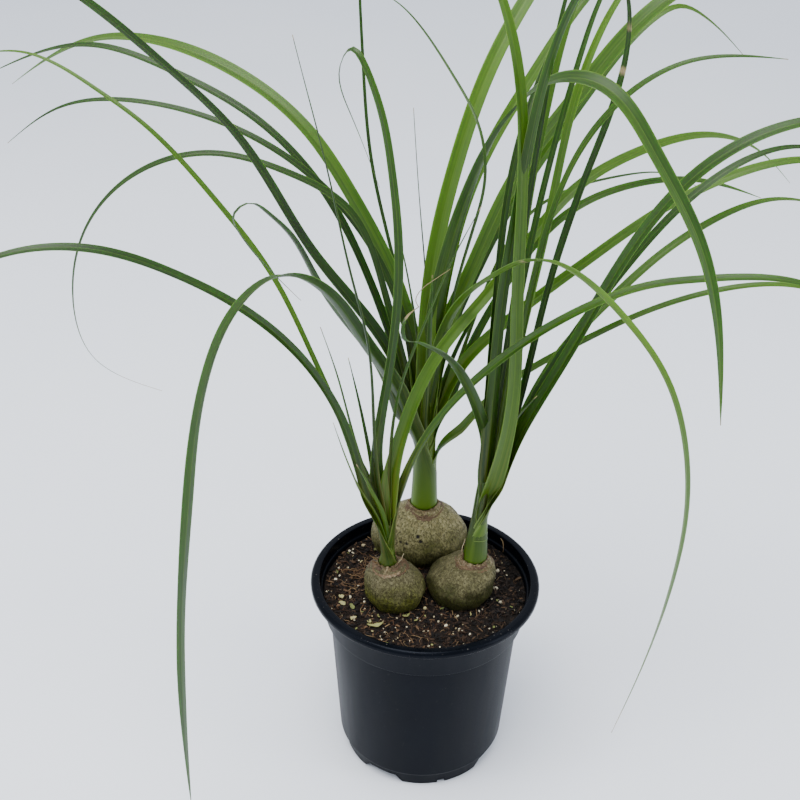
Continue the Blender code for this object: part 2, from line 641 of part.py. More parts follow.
def all_leaves():
    """Every crown's leaves: those drawn one by one, then those that follow a rule."""
    placed = []
    for name, leaves in LEAVES.items():
        for leaf in leaves:
            placed.append((name, leaf_midrib(FANS[name], leaf, 60)[0], leaf[1]))
    return {name: leaves + seeded_leaves(name, placed) for name, leaves in LEAVES.items()}


def drop_pockets(target):
    """Fill the pockets that a union closed between leaves: keep the outer skin."""
    work = bmesh.new()
    work.from_mesh(target.data)
    shells = []
    left = set(work.verts)
    while left:
        shell = set()
        front = [left.pop()]
        while front:
            vertex = front.pop()
            shell.add(vertex)
            near = [edge.other_vert(vertex) for edge in vertex.link_edges]
            front += [other for other in near if other in left]
            left.difference_update(near)
        shells.append(shell)
    outer = max(shells, key=len)
    pocket = [vertex for shell in shells if shell is not outer for vertex in shell]
    bmesh.ops.delete(work, geom=pocket, context="VERTS")
    work.to_mesh(target.data)
    work.free()


def build_crown(name, leaves, collection, surface):
    """A neck and all its leaves, joined as one body."""
    crown = build_neck(name, collection, surface)
    blades = new_collection("blades_" + name)
    for leaf in leaves:
        build_blade(FANS[name], leaf, blades)
    cut(crown, blades, "UNION")
    bpy.data.collections.remove(blades)
    drop_pockets(crown)
    return crown


def main():
    clear_scene()
    plant = new_collection("potted_ponytail_palm")
    black = material("pot_plastic", (0.018, 0.020, 0.023), 0.42)
    earth = material("mix", (0.035, 0.022, 0.014), 0.95)
    bark = material("bark", (0.26, 0.25, 0.12), 0.75)
    green = material("leaf", (0.05, 0.14, 0.02), 0.45)
    build_pot(plant, black)
    caudices = {name: build_caudex(name, base, plant, bark) for name, base in CAUDICES.items()}
    build_mix(plant, earth, caudices)
    for name, leaves in all_leaves().items():
        build_crown(name, leaves, plant, green)


main()
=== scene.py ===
"""Looks of the potted ponytail palm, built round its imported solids.

Metres, +Z up, +X to the right and +Y to the back, the origin at the centre of
the pot's underside. Tables of sizes are in mm and are scaled where they are used.
"""

import json
import math
import random

import bmesh
import bpy
import numpy as np
from mathutils import Matrix, Vector, kdtree, noise

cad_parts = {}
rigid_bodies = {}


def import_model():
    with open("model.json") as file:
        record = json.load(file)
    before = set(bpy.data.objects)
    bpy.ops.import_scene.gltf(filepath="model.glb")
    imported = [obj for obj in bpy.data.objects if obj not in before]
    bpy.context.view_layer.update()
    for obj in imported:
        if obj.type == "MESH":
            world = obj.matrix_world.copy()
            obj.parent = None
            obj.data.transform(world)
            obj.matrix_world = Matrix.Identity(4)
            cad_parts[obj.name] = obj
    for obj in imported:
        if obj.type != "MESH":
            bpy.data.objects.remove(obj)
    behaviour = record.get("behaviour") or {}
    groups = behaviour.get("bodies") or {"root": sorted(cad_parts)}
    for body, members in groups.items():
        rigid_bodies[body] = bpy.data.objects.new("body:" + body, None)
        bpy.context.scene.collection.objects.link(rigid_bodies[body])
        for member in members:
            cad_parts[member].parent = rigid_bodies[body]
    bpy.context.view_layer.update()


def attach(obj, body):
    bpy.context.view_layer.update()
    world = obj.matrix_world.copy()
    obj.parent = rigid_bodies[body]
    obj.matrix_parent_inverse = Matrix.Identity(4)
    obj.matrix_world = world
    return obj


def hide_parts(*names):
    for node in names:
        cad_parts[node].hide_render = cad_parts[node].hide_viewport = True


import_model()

MM = 0.001
UP = np.array((0.0, 0.0, 1.0))
FULL_TURN = 2.0 * math.pi

# Pot: outside radii from the rim down, and heights above the ground
RIM_RADIUS = 76.0 * MM
POT_HEIGHT = 139.0 * MM
WALL = 1.3 * MM
LIP_DEPTH = 4.5 * MM
LIP_WIDTH = 6.0 * MM
COLLAR_TOP_RADIUS = 69.3 * MM
COLLAR_BOTTOM_RADIUS = 66.9 * MM
COLLAR_STEP_HEIGHT = POT_HEIGHT - 27.0 * MM
INNER_STEP_HEIGHT = POT_HEIGHT - 7.5 * MM
BODY_TOP_RADIUS = 63.5 * MM
BODY_BOTTOM_RADIUS = 57.0 * MM
FOOT_HEIGHT = 12.0 * MM
FOOT_RADIUS = 53.0 * MM
FLOOR = 2.0 * MM
POT_STEPS = 192
DRAIN_BAYS = 4
FIRST_BAY_ANGLE = math.radians(-27.8)
BAY_WIDTH = 20.5 * MM
BAY_FLARE = 1.46
BAY_HEIGHT = 6.0 * MM
BAY_DEPTH = 6.5 * MM
BAY_REACH = 0.25 * MM
DRAIN_SLOT_WIDTH = 12.0 * MM
DRAIN_SLOT_HEIGHT = 2.4 * MM
FOOT_NOTCH_WIDTH = 5.5 * MM
FOOT_NOTCH_HEIGHT = 3.0 * MM
FOOT_NOTCH_DEPTH = 4.0 * MM

# Potting mix
MIX_EDGE_HEIGHT = 128.5 * MM
MIX_MOUND = 4.5 * MM
MIX_MOUND_RADIUS = 34.0 * MM
MIX_MOUND_CENTRE = (-1.0 * MM, 8.0 * MM)
MIX_ROUGHNESS = 0.4 * MM
MIX_SIDES = 260
MIX_RINGS = 100

# Loose pieces on the mix: how many, their sizes in mm before a power makes small
# ones more common, and how flat they are. A fibre's sizes are its length and its
# radius in mm, the tangle lies at (middle, spread) to the right and to the back, the
# dry curl is (x, y, lift, radius) in mm, and a scrap's ranges are its length, width
# and turn
MIX_CRUMBS = 1700
CRUMB_SIZES = (0.35, 1.25)
CRUMB_FLATNESS = ((0.5, 0.9), (0.4, 0.8))
MIX_CHIPS = 3600
CHIP_SIZES = (0.4, 1.65)
CHIP_SIDES = 5
PERLITE_GRAINS = 170
PERLITE_SIZES = (0.3, 0.95)
PERLITE_FLATNESS = ((0.7, 1.0), (0.6, 0.85))
MIX_FIBRES = 420
FIBRE_SIZES = ((2.5, 10.0), (0.08, 0.2))
TANGLE_FIBRES = 60
TANGLE_SIZES = ((7.0, 17.0), (0.1, 0.2))
TANGLE = ((-39.0, 5.0), (7.0, 6.5))
DRY_CURL = ((44.8, 53.9, 2.0, 0.2), (48.5, 51.5, 6.5, 0.36), (51.8, 47.5, 8.5, 0.42),
            (53.6, 43.5, 6.0, 0.4), (53.8, 40.1, 1.2, 0.15))
LOOSE_SCRAPS = 26
SCRAP_RANGES = ((1.4, 3.8), (0.6, 1.3), (0.0, 6.28))

# Swollen bases: centre, radii across and front to back, height of the bottom, of
# the widest part and of the top, how far the top leans, neck radius and how deep
# the neck is seated, all in mm, then the powers of the curve over the shoulder and
# the seed of what is random
CAUDICES = {
    "left": dict(at=(-19.5, -13.6), radii=(19.7, 19.2), heights=(122.0, 140.7, 160.7),
                 lean=(-4.8, 0.4), neck=6.3, seat=1.6, shoulder=(2.3, 0.62), seed=3),
    "right": dict(at=(23.2, -6.2), radii=(22.2, 21.4), heights=(122.0, 141.0, 161.0),
                  lean=(8.6, 0.6), neck=8.1, seat=1.6, shoulder=(2.3, 0.62), seed=5),
    "back": dict(at=(-5.3, 38.0), radii=(32.3, 27.6), heights=(122.0, 147.5, 174.0),
                 lean=(2.8, 0.0), neck=9.2, seat=4.0, shoulder=(1.6, 0.8), seed=8),
}
CAUDEX_SIDES = 220
CAUDEX_RINGS = 150
BARK_RIDGE = 0.35 * MM

# Where each crown's leaves fan out, the neck's radius there, and how far up
# the neck goes on inside the fan, all in mm
FANS = {
    "left": dict(at=(-24.2, -14.0, 166.0), radius=4.6, core=26.0),
    "right": dict(at=(33.5, -5.5, 190.0), radius=5.4, core=30.0),
    "back": dict(at=(-2.5, 38.0, 215.0), radius=7.2, core=34.0),
}

# Each leaf is its azimuth in degrees from +X, its width at the base, how late it
# tapers (2 soon, 6 only near its tip), the way its midrib goes as (out, up) from
# the fan point, and how far its tip drifts to the left of that upright plane, in mm
LEAVES = {
    "back": [
        (155, 12.5, 6, [(0, 0), (26, 118), (57, 168), (84, 200), (137, 230), (193, 241), (239, 237),
            (320, 196)], 0),
        (190, 11.0, 6, [(0, -8), (30, 82), (73, 145), (114, 217), (150, 256), (180, 284), (228, 312),
            (300, 306)], 0),
        (163, 7.5, 6, [(0, 0), (41, 117), (72, 172), (115, 210), (165, 231), (215, 242), (300, 216)], 0),
        (172, 7.0, 4, [(0, 0), (36, 138), (76, 184), (131, 212), (178, 220), (225, 214), (265, 188)], 0),
        (180, 7.0, 3, [(0, 0), (30, 118), (52, 168), (84, 187), (130, 198), (174, 185), (203, 158),
            (222, 105), (214, 60), (172, 37)], 0),
        (218, 11.0, 2, [(0, -4), (45, 87), (79, 140), (95, 172), (108, 187), (119, 194), (127, 189),
            (124, 178), (106, 152), (83, 124)], -16),
        (226, 12.5, 9, [(0, -10), (27, 56), (52, 94), (91, 147), (121, 160), (144, 151), (166, 120),
            (184, 51), (198, -45), (203, -180)], 0),
        (120, 2.6, 4, [(0, 0), (-29, 128), (-48, 179), (-55, 208), (-50, 226), (-21, 249), (46, 276),
            (85, 278)], 0),
        (130, 3.2, 5, [(0, 0), (19, 73), (38, 123), (61, 179), (71, 247), (70, 320), (58, 350)], 0),
        (45, 13.5, 6, [(0, 0), (-2, 74), (3, 141), (18, 192), (38, 236), (70, 278), (120, 312),
            (180, 312), (225, 285)], 0),
        (-36, 13.5, 6, [(0, 0), (6, 112), (25, 185), (52, 238), (80, 260), (106, 260), (135, 235),
            (168, 192), (195, 95)], 0),
        (30, 10.0, 6, [(0, 0), (14, 139), (32, 191), (64, 240), (95, 279), (135, 305), (185, 303),
            (225, 276)], 0),
        (8, 15.5, 6, [(0, 0), (7, 73), (26, 129), (53, 194), (79, 232), (108, 271), (150, 302),
            (205, 310), (260, 282)], 0),
        (18, 11.0, 3, [(0, 0), (10, 73), (30, 126), (47, 162), (62, 187), (94, 233), (110, 254),
            (129, 272), (143, 278), (160, 272), (190, 248)], 0),
        (5, 9.5, 6, [(0, 0), (15, 52), (45, 90), (96, 135), (138, 168), (160, 181), (220, 198),
            (275, 184)], 0),
        (-5, 7.0, 5, [(0, -16), (15, 10), (29, 29), (56, 58), (91, 85), (137, 114), (162, 125),
            (215, 134), (265, 116)], 0),
        (-60, 10.0, 4, [(0, 0), (4, 39), (15, 86), (35, 121), (71, 154), (116, 181), (156, 184),
            (188, 177), (219, 162), (241, 122), (243, 73), (216, -61)], 0),
        (40, 3.0, 5, [(0, 0), (35, 80), (83, 148), (110, 155), (155, 155), (210, 146), (250, 126)], 0),
        (20, 7.5, 6, [(0, 0), (52, 116), (88, 156), (130, 170), (175, 169), (225, 152)], 0),
        (178, 2.2, 3, [(0, 20), (2, 106), (8, 170), (13, 228)], 0),
    ],
    "left": [
        (164, 5.0, 5, [(0, 0), (29, 89), (51, 140), (74, 186), (107, 227), (152, 269), (174, 282),
            (220, 300), (265, 292)], 0),
        (195, 9.0, 6, [(0, -4), (14, 53), (29, 104), (54, 151), (85, 184), (120, 208), (158, 225),
            (210, 225), (255, 200)], 0),
        (205, 3.5, 3, [(0, 0), (12, 40), (27, 80), (36, 108)], 0),
        (180, 3.5, 3, [(0, 0), (12, 55), (22, 91), (32, 133), (41, 163)], 0),
        (190, 3.8, 3, [(0, 0), (6, 50), (10, 101), (14, 156), (23, 197), (35, 257), (46, 305),
            (52, 331)], 0),
        (150, 9.0, 3, [(0, 0), (9, 70), (1, 140), (-3, 225), (2, 262), (16, 307), (27, 319), (34, 310),
            (28, 285), (9, 247)], 0),
        (0, 4.0, 3, [(0, 0), (0, 70), (5, 120), (20, 170), (34, 209), (48, 240)], 0),
        (30, 10.0, 5, [(0, 0), (-1, 43), (12, 101), (34, 142), (62, 170), (90, 200), (120, 228),
            (165, 245), (210, 249), (255, 236), (295, 205)], 0),
        (-8, 9.0, 5, [(0, 0), (9, 60), (29, 105), (61, 147), (106, 186), (145, 206), (167, 211),
            (220, 214), (270, 190)], 0),
    ],
    "right": [
        (0, 12.0, 5, [(0, -8), (15, 47), (48, 126), (83, 204), (107, 236), (148, 262), (200, 264),
            (245, 238)], 0),
        (26, 8.0, 5, [(0, 0), (25, 69), (50, 113), (80, 141), (117, 168), (137, 178), (190, 190),
            (240, 178)], 0),
        (150, 11.0, 5, [(0, -8), (-17, 95), (-15, 161), (-13, 230), (-9, 275), (5, 322), (28, 352),
            (60, 362)], 0),
        (10, 7.0, 6, [(0, 0), (21, 88), (31, 154), (48, 229), (61, 278), (61, 322), (46, 355)], 0),
        (246, 11.0, 3, [(-5, -14), (-13, 35), (3, 73), (32, 115), (53, 139), (73, 156), (90, 168),
            (108, 179), (118, 186), (119, 192), (101, 195)], 0),
        (-25, 10.0, 5, [(0, 0), (4, 90), (6, 157), (12, 220), (22, 290), (45, 345), (85, 378)], 0),
        (62, 6.0, 5, [(0, 0), (1, 90), (4, 160), (12, 220), (25, 250), (50, 279), (87, 306), (130, 322),
            (175, 314)], 0),
        (40, 5.0, 5, [(0, 0), (10, 90), (19, 175), (26, 240), (34, 297), (46, 337), (72, 366)], 0),
        (50, 6.0, 5, [(0, 0), (11, 75), (22, 148), (29, 214), (39, 260), (57, 312), (90, 345),
            (135, 355)], 0),
        (33, 6.0, 5, [(0, 0), (10, 80), (19, 151), (31, 222), (48, 290), (65, 330), (98, 358)], 0),
        (25, 7.5, 5, [(0, 0), (12, 75), (22, 139), (33, 206), (49, 290), (77, 335), (120, 358)], 0),
        (-5, 8.0, 5, [(0, 0), (10, 31), (15, 90), (22, 163), (30, 212), (50, 262), (90, 296),
            (140, 300)], 0),
        (15, 8.0, 6, [(0, 0), (17, 51), (33, 92), (66, 150), (92, 186), (119, 214), (165, 236),
            (215, 228)], 0),
    ],
}

# Young leaves in the middle of each crown follow a rule: how many, and the
# ranges of azimuth, starting lean and final lean in degrees, length and width. A
# leaf that comes too near another plant is turned by steps, to either side
SEEDED_LEAVES = {
    "back": dict(count=4, azimuth=(-80, 200), lean=(3, 10), droop=(14, 50), length=(110, 190),
                 width=(4, 7), seed=11),
    "left": dict(count=3, azimuth=(60, 280), lean=(4, 12), droop=(16, 50), length=(80, 140),
                 width=(3, 5), seed=23),
    "right": dict(count=3, azimuth=(-60, 120), lean=(3, 10), droop=(14, 40), length=(100, 170),
                  width=(4, 6), seed=37),
}
SEEDED_TAPER = 3
AZIMUTH_STEP = 7.0
MOST_STEPS = 6
OTHER_PLANT_CLEARANCE = 3.0 * MM

# Leaf widths: the least at the tip, up to which share of the length the base
# narrows, and by which share. A midrib is first measured with so many points
TIP_WIDTH = 1.25 * MM
WIDE_BASE_SHARE = 0.35
BASE_EXTRA = 0.3
MIDRIB_POINTS = 60

# Fine blades: distance of the sections, points across and their places from edge
# (-1) to edge (1), thickness, and the depth of channel and wave over the width
SECTION_SPACING = 4.2 * MM
ACROSS = 13
SIDE = np.linspace(-1.0, 1.0, ACROSS)
BLADE_THICKNESS = 0.40 * MM
CHANNEL = 0.17
EDGE_WAVE = 0.03

# Leaf bases that wrap the neck: sections, half the angle they wrap at the foot, how
# many layers show, how far above the neck a base has opened into its blade, and how
# much fuller the blade starts, all of it up to one distance and none past another
SHEATH_SECTIONS = 16
SHEATH_REACH = 2.7
SHEATH_THICKNESS = 0.14 * MM
OUTER_LAYERS = 7
LAYER_STEP = 0.28 * MM
OPENINGS = {"left": 62.0 * MM, "right": 42.0 * MM, "back": 42.0 * MM}
FULLER_BASES = {"left": 0.8, "right": 0.15, "back": 0.2}
FULL_UP_TO = (15.0 * MM, 85.0 * MM)

# How light named leaves are, from 0 to 1
TONES = {("back", 16): 1.0, ("back", 6): 0.35, ("back", 1): 0.1, ("right", 4): 0.3, ("back", 5): 0.3}

# Rolls about the midrib, in degrees, of the rising part and past the arch. The
# leaves that are not named here roll by rule, up to the most, and a leaf whose
# level side faces the front by more than a share rolls one way all along. Which
# way the rule takes is judged at two shares of the length
MOST_ROLL = (50.0, 40.0)
ROLL_JUDGED = (0.2, 0.75)
LEVEL_FACING = 0.72
ROLLS = {
    ("back", 16): (0, -24),
    ("back", 6): (32, -4),
    ("back", 5): (50, 20),
    ("right", 4): (38, 12),
}

# Leaves whose bases lie outside the others', although they start upright
OUTERMOST = (("right", 4),)

# Shares of the length where the dry tip starts, and where rusty spots lie, and how
# long the other leaves' dry tips and the spots are
DRY_TIP = 4.0 * MM
RUSTY_SPOT = 2.6 * MM
DRY_TIPS = {("back", 16): 0.955, ("right", 4): 0.95, ("back", 4): 0.94, ("back", 5): 0.95}
RUSTY_SPOTS = {("back", 16): (0.37,), ("right", 3): (0.80, 0.865)}

# A crease where an old leaf was torn away: its height up the neck, and its azimuths
CREASES = {"right": (18.0 * MM, (-112, -22))}
CREASE_KNOTS = 9

# A dry thread at a leaf's tip, as (right, back, up) from the tip in mm
DRY_THREADS = {("right", 4): [(0, 0, 0), (-1.5, 0, 3), (0, 0, 8), (6, 0, 14), (15, 0, 21)]}

# Thin sheets of dry skin or leaf: thickness, and points of a small one
SHEET_THICKNESS = 0.12 * MM
SHEET_ROWS = 9
SHEET_COLUMNS = 5

# Torn dry skins: arcs in each ring, their extent in radians, and points of an arc.
# Then for each neck, in mm, the height of the lip round the seat, the distances of
# the rings from it, how far they reach over the base and lift off it, the width and
# height of the wrinkles, and slivers that stand by the neck as (azimuth, height,
# width, lean, tone)
ARCS_PER_RING = 5
ARC_EXTENT = (0.5, 1.7)
ARC_ROWS = 4
ARC_SPACING = 0.45 * MM
TORN_SKINS = {
    "left": dict(lip=2.0, rings=(0.4, 1.6, 3.0, 4.6), reach=(1.2, 3.0), lift=(0.3, 0.9),
                 wrinkled=9.0, wrinkle=0.30,
                 slivers=((-12, 11.0, 3.6, 0.42, 0.95), (-40, 5.0, 3.0, 0.55, 0.6),
                          (205, 6.0, 2.6, 0.9, 0.3), (170, 5.0, 1.6, 1.2, 0.25),
                          (235, 3.6, 3.4, 0.8, 0.35), (-70, 2.8, 3.0, 0.7, 0.2),
                          (60, 5.0, 3.0, 0.4, 0.5), (120, 4.0, 2.4, 0.6, 0.4))),
    "right": dict(lip=2.0, rings=(0.2, 1.5, 2.9), reach=(0.9, 1.9), lift=(0.25, 0.6),
                  wrinkled=11.0, wrinkle=0.34,
                  slivers=((188, 15.5, 1.5, 0.03, 0.85), (200, 6.5, 2.0, 0.12, 0.15),
                           (160, 6.0, 2.2, 0.2, 0.5), (-8, 2.6, 2.2, 0.5, 0.7),
                           (70, 5.0, 2.6, 0.2, 0.5))),
    "back": dict(lip=2.4, rings=(0.4, 1.4, 2.6), reach=(1.0, 2.4), lift=(0.2, 0.5),
                 wrinkled=8.0, wrinkle=0.22,
                 slivers=((2, 2.4, 1.4, 0.7, 0.1), (178, 2.6, 1.6, 0.7, 0.1),
                          (-52, 2.6, 4.2, 0.8, 0.35), (-75, 1.8, 3.4, 0.9, 0.45),
                          (222, 2.8, 3.6, 0.7, 0.75), (100, 3.6, 3.0, 0.5, 0.4))),
}

# Camera: 54 mm lens on a 36 mm sensor, above and in front of the pot, and the
# photograph's frame in pixels
LENS = 54.0
SENSOR = 36.0
FRAME = 800.0
CAMERA_AT = np.array((0.0, -8.28 * RIM_RADIUS, 8.49 * RIM_RADIUS))
CAMERA_PITCH = 0.533
CAMERA_YAW = 0.030
CAMERA_ROLL = 0.019

# Things that the photograph shows at a pixel: pits in the back base, and on the mix
# perlite grains, leaf scraps, straws and one round fertiliser grain, sizes in mm
PITTED_BASE = "back"
PITS = ((418, 537, 1.3), (420.5, 542, 1.1), (401, 542, 0.8), (406, 544, 0.9), (452, 540, 0.5))
GRAINS_SEEN = (
    (363.7, 546.3, 2.2), (335.7, 580.4, 1.5), (340.2, 576, 1.3), (336, 573, 0.9), (339, 568.5, 1.2),
    (346.3, 580.4, 0.9), (350, 551.5, 1.2), (352.5, 553, 1.0), (371.5, 616.8, 1.5), (383.2, 621.9, 1.1),
    (385, 633.3, 1.2), (406.5, 627.6, 0.8), (432, 626.7, 1.1), (446.3, 626, 1.6), (458.8, 631.2, 1.1),
    (461.5, 631.6, 1.0), (470, 635, 1.1), (495.2, 588.7, 2.2), (501, 603.1, 1.8), (497.3, 571.5, 1.5),
    (501.6, 563.2, 1.0), (479.2, 611.7, 1.1), (456.3, 617.7, 1.0), (441.6, 614.8, 0.9),
    (516.2, 590.6, 0.9), (350, 598, 1.4), (493, 633, 0.9), (527, 584, 0.8), (434, 617, 0.8),
    (359, 561, 1.0),
)
SCRAPS_SEEN = (
    (375.5, 627, 11.0, 2.6, 0.25), (342.7, 604.6, 5.5, 3.4, 2.4), (352.6, 608.5, 5.5, 2.6, 2.0),
    (353.6, 619.3, 4.4, 2.4, 0.3), (406.5, 617.4, 5.5, 2.0, 0.5), (369.5, 623, 3.0, 2.4, 0.9),
    (416, 622, 2.6, 1.4, 0.2), (341.5, 598.3, 3.8, 2.6, 0.2), (407, 560, 5.0, 1.6, 1.3),
    (413, 558, 4.0, 1.4, 2.2),
)
STRAWS_SEEN = (
    (358, 533, 370, 539, 0.9), (496, 597, 507, 598, 0.6), (476, 610, 477, 619, 0.75),
    (452, 611, 453, 616, 0.8), (450.5, 600, 448, 607, 0.95), (385, 628, 390, 625, 0.85),
    (366, 602, 360, 611, 0.5), (419, 596, 428, 600, 0.7),
)
PRILL_SEEN = (424.8, 609.3, 1.9)

# Studio: a wide floor, a pale room, and lights as (name, place, target, size, power,
# colour)
FLOOR_RADIUS = 12.0
WORLD_COLOUR = (0.86, 0.91, 1.0, 1.0)
WORLD_STRENGTH = (1.18, 1.48)
LIGHTS = (
    ("key", (-0.35, -0.45, 2.0), (0.0, 0.0, 0.2), (1.3, 1.1), 48.0, (1.0, 0.99, 0.97)),
    ("left_strip", (-1.3, -0.5, 0.7), (0.0, 0.0, 0.15), (0.45, 1.2), 6.0, (0.93, 0.96, 1.0)),
    ("right_strip", (1.3, -0.4, 0.6), (0.0, 0.0, 0.12), (0.4, 1.2), 8.0, (0.95, 0.97, 1.0)),
)


def rgb(red, green, blue):
    """A linear colour from 0 to 255 screen values."""
    def linear(value):
        part = value / 255.0
        return part / 12.92 if part <= 0.04045 else ((part + 0.055) / 1.055) ** 2.4

    return (linear(red), linear(green), linear(blue), 1.0)


# How brown each plant's leaves are at their bases, how far above the fan most, and
# how far from there the brown ends
BLUSH = {"left": 0.55, "right": 0.3, "back": 0.3}
BLUSH_HEIGHT = 35.0 * MM
BLUSH_REACH = 70.0 * MM

# Tones. Stops are (position on the ramp, colour)
LEAF_STOPS = [(0.40, rgb(14, 33, 0)), (0.64, rgb(33, 59, 1)), (0.95, rgb(66, 96, 8))]
DRY_STOPS = [(0.3, rgb(92, 66, 40)), (0.7, rgb(158, 142, 112))]
NECK_COLOUR = rgb(84, 112, 20)
BASE_BROWN = rgb(94, 80, 34)
MIDRIB_COLOUR = rgb(98, 128, 34)
EDGE_COLOUR = rgb(116, 138, 62)
SHEATH_EDGE_COLOUR = rgb(120, 142, 76)
BARK_GREEN = rgb(50, 62, 12)
CRACK_COLOUR = rgb(44, 39, 15)
PIT_SHADE_COLOUR = rgb(14, 11, 8)
LOW_DARK_COLOUR = rgb(34, 27, 13)
PLASTIC_STOPS = [(0.35, rgb(2, 3, 6)), (0.65, rgb(4, 6, 11))]
DUST_COLOUR = rgb(120, 116, 108)
PEAT_STOPS = [(0.38, rgb(8, 6, 4)), (0.66, rgb(36, 25, 17))]
WET_AND_SHADED_PEAT = rgb(10, 8, 6)
WET_AND_SHADED_CRUMB = rgb(12, 9, 7)
FLOOR_COLOURS = (rgb(238, 241, 246), rgb(232, 236, 243))
SKIN_STOPS = [(0.34, rgb(70, 50, 30)), (0.50, rgb(104, 86, 60)), (0.66, rgb(140, 124, 96))]
PAPER_STOPS = [(0.22, rgb(54, 34, 18)), (0.5, rgb(92, 72, 48)), (0.82, rgb(160, 148, 120))]
CRUMB_STOPS = [(0.2, rgb(7, 5, 4)), (0.5, rgb(24, 17, 12)), (0.75, rgb(54, 38, 25)),
               (0.88, rgb(104, 80, 56))]
PERLITE_STOPS = [(0.2, rgb(146, 132, 100)), (0.6, rgb(204, 194, 166))]
FIBRE_STOPS = [(0.2, rgb(48, 29, 17)), (0.55, rgb(90, 60, 36)), (0.85, rgb(146, 122, 86))]
SCRAP_STOPS = [(0.2, rgb(92, 100, 52)), (0.6, rgb(140, 138, 86)), (0.9, rgb(170, 158, 116))]

# Bark tones as screen values, and for each base how light its tan and its olive are and
# from which share of the height the tan starts. The olive below holds painted shade too,
# as the lower half of each base faces away from the light above
TAN_STOPS = [(0.32, (92, 86, 54)), (0.50, (107, 101, 68)), (0.70, (124, 118, 86))]
OLIVE_AND_SHADE_STOPS = [(0.32, (38, 40, 6)), (0.50, (50, 52, 10)), (0.70, (64, 64, 20))]
BARK_SHARES = {"left": (0.79, 1.35, 0.38), "right": (0.93, 0.85, 0.5), "back": (1.12, 1.1, 0.36)}

# The mix gets darker between these places to the right of the middle: it is wetter there, and painted
# shade of the leaves and the dark pot wall lies there too
WET_AND_SHADED_SIDE = (5.0 * MM, 45.0 * MM)


def shaded(stops, share):
    """Colour stops from screen values that are made lighter or darker."""
    return [(position, rgb(*(share * value for value in values))) for position, values in stops]


class Nodes:
    """A short way to write the node tree of a material or of the world."""

    def __init__(self, owner):
        self.owner = owner
        owner.use_nodes = True
        self.tree = owner.node_tree

    def feed(self, socket, value):
        if isinstance(value, (tuple, float)):
            socket.default_value = value
        else:
            self.tree.links.new(value, socket)

    def add(self, kind, sockets, output=0, **values):
        """Make a node, feed its sockets by name or number and return one output."""
        made = self.tree.nodes.new("ShaderNode" + kind)
        for key, value in values.items():
            setattr(made, key, value)
        for key, value in sockets.items():
            self.feed(made.inputs[key], value)
        return made.outputs[output]

    def object_place(self):
        return self.add("TexCoord", {}, "Object")

    def grain(self):
        return self.add("Attribute", {}, "Vector", attribute_name="Grain")

    def split(self, name):
        """The three numbers of a colour attribute, then its alpha."""
        colour = self.add("Attribute", {}, "Color", attribute_name=name)
        parts = self.add("SeparateColor", {"Color": colour}).node
        return (*parts.outputs, colour.node.outputs["Alpha"])

    def axis(self, vector, name):
        return self.add("SeparateXYZ", {0: vector}, name)

    def mapping(self, source, scale):
        return self.add("Mapping", {"Vector": source, "Scale": scale})

    def noise(self, vector, scale, detail=3.0, roughness=0.55, output="Fac"):
        sockets = {"Vector": vector, "Scale": scale, "Detail": detail, "Roughness": roughness}
        return self.add("TexNoise", sockets, output)

    def drawn_noise(self, vector, scales, detail=3.0, roughness=0.55):
        """Noise with a scale of its own along each axis."""
        return self.noise(self.mapping(vector, scales), 1.0, detail, roughness)

    def warped(self, vector, scale, amount):
        """A vector shifted by noise of a scale, by up to half an amount."""
        shift = self.noise(vector, scale, 2.0, output="Color")
        return self.add("VectorMath", {0: shift, 1: (amount,) * 3, 2: vector}, operation="MULTIPLY_ADD")

    def net(self, vector):
        """Distance to the nearest edge of a net of cells one unit wide."""
        sockets = {"Vector": vector, "Scale": 1.0}
        return self.add("TexVoronoi", sockets, "Distance", feature="DISTANCE_TO_EDGE")

    def ramp(self, factor, stops):
        """A colour ramp from (position, colour) stops."""
        colour = self.add("ValToRGB", {"Fac": factor})
        elements = colour.node.color_ramp.elements
        while len(elements) < len(stops):
            elements.new(0.5)
        for element, (position, tone) in zip(elements, stops):
            element.position = position
            element.color = tone
        return colour

    def mix(self, factor, first, second):
        return self.add("Mix", {0: factor, 6: first, 7: second}, 2, data_type="RGBA")

    def math(self, operation, first, second=0.0):
        return self.add("Math", {0: first, 1: second}, operation=operation)

    def product(self, first, second):
        return self.math("MULTIPLY", first, second)

    def centred(self, source):
        """A number less a half."""
        return self.math("SUBTRACT", source, 0.5)

    def total(self, *terms):
        """The sum of (source, weight) pairs."""
        result = 0.0
        for source, weight in terms:
            result = self.math("ADD", self.product(source, weight), result)
        return result

    def scaled(self, factor, low, high, to_low=0.0, to_high=1.0):
        ends = {"From Min": low, "From Max": high, "To Min": to_low, "To Max": to_high}
        return self.add("MapRange", {"Value": factor, **ends})

    def bump(self, height, strength, distance, below=None):
        sockets = {"Height": height, "Strength": strength, "Distance": distance}
        if below is not None:
            sockets["Normal"] = below
        return self.add("Bump", sockets)

    def shade(self, **sockets):
        """Feed the material's shader."""
        shader = self.tree.nodes["Principled BSDF"]
        for name, value in sockets.items():
            self.feed(shader.inputs[name.replace("_", " ")], value)


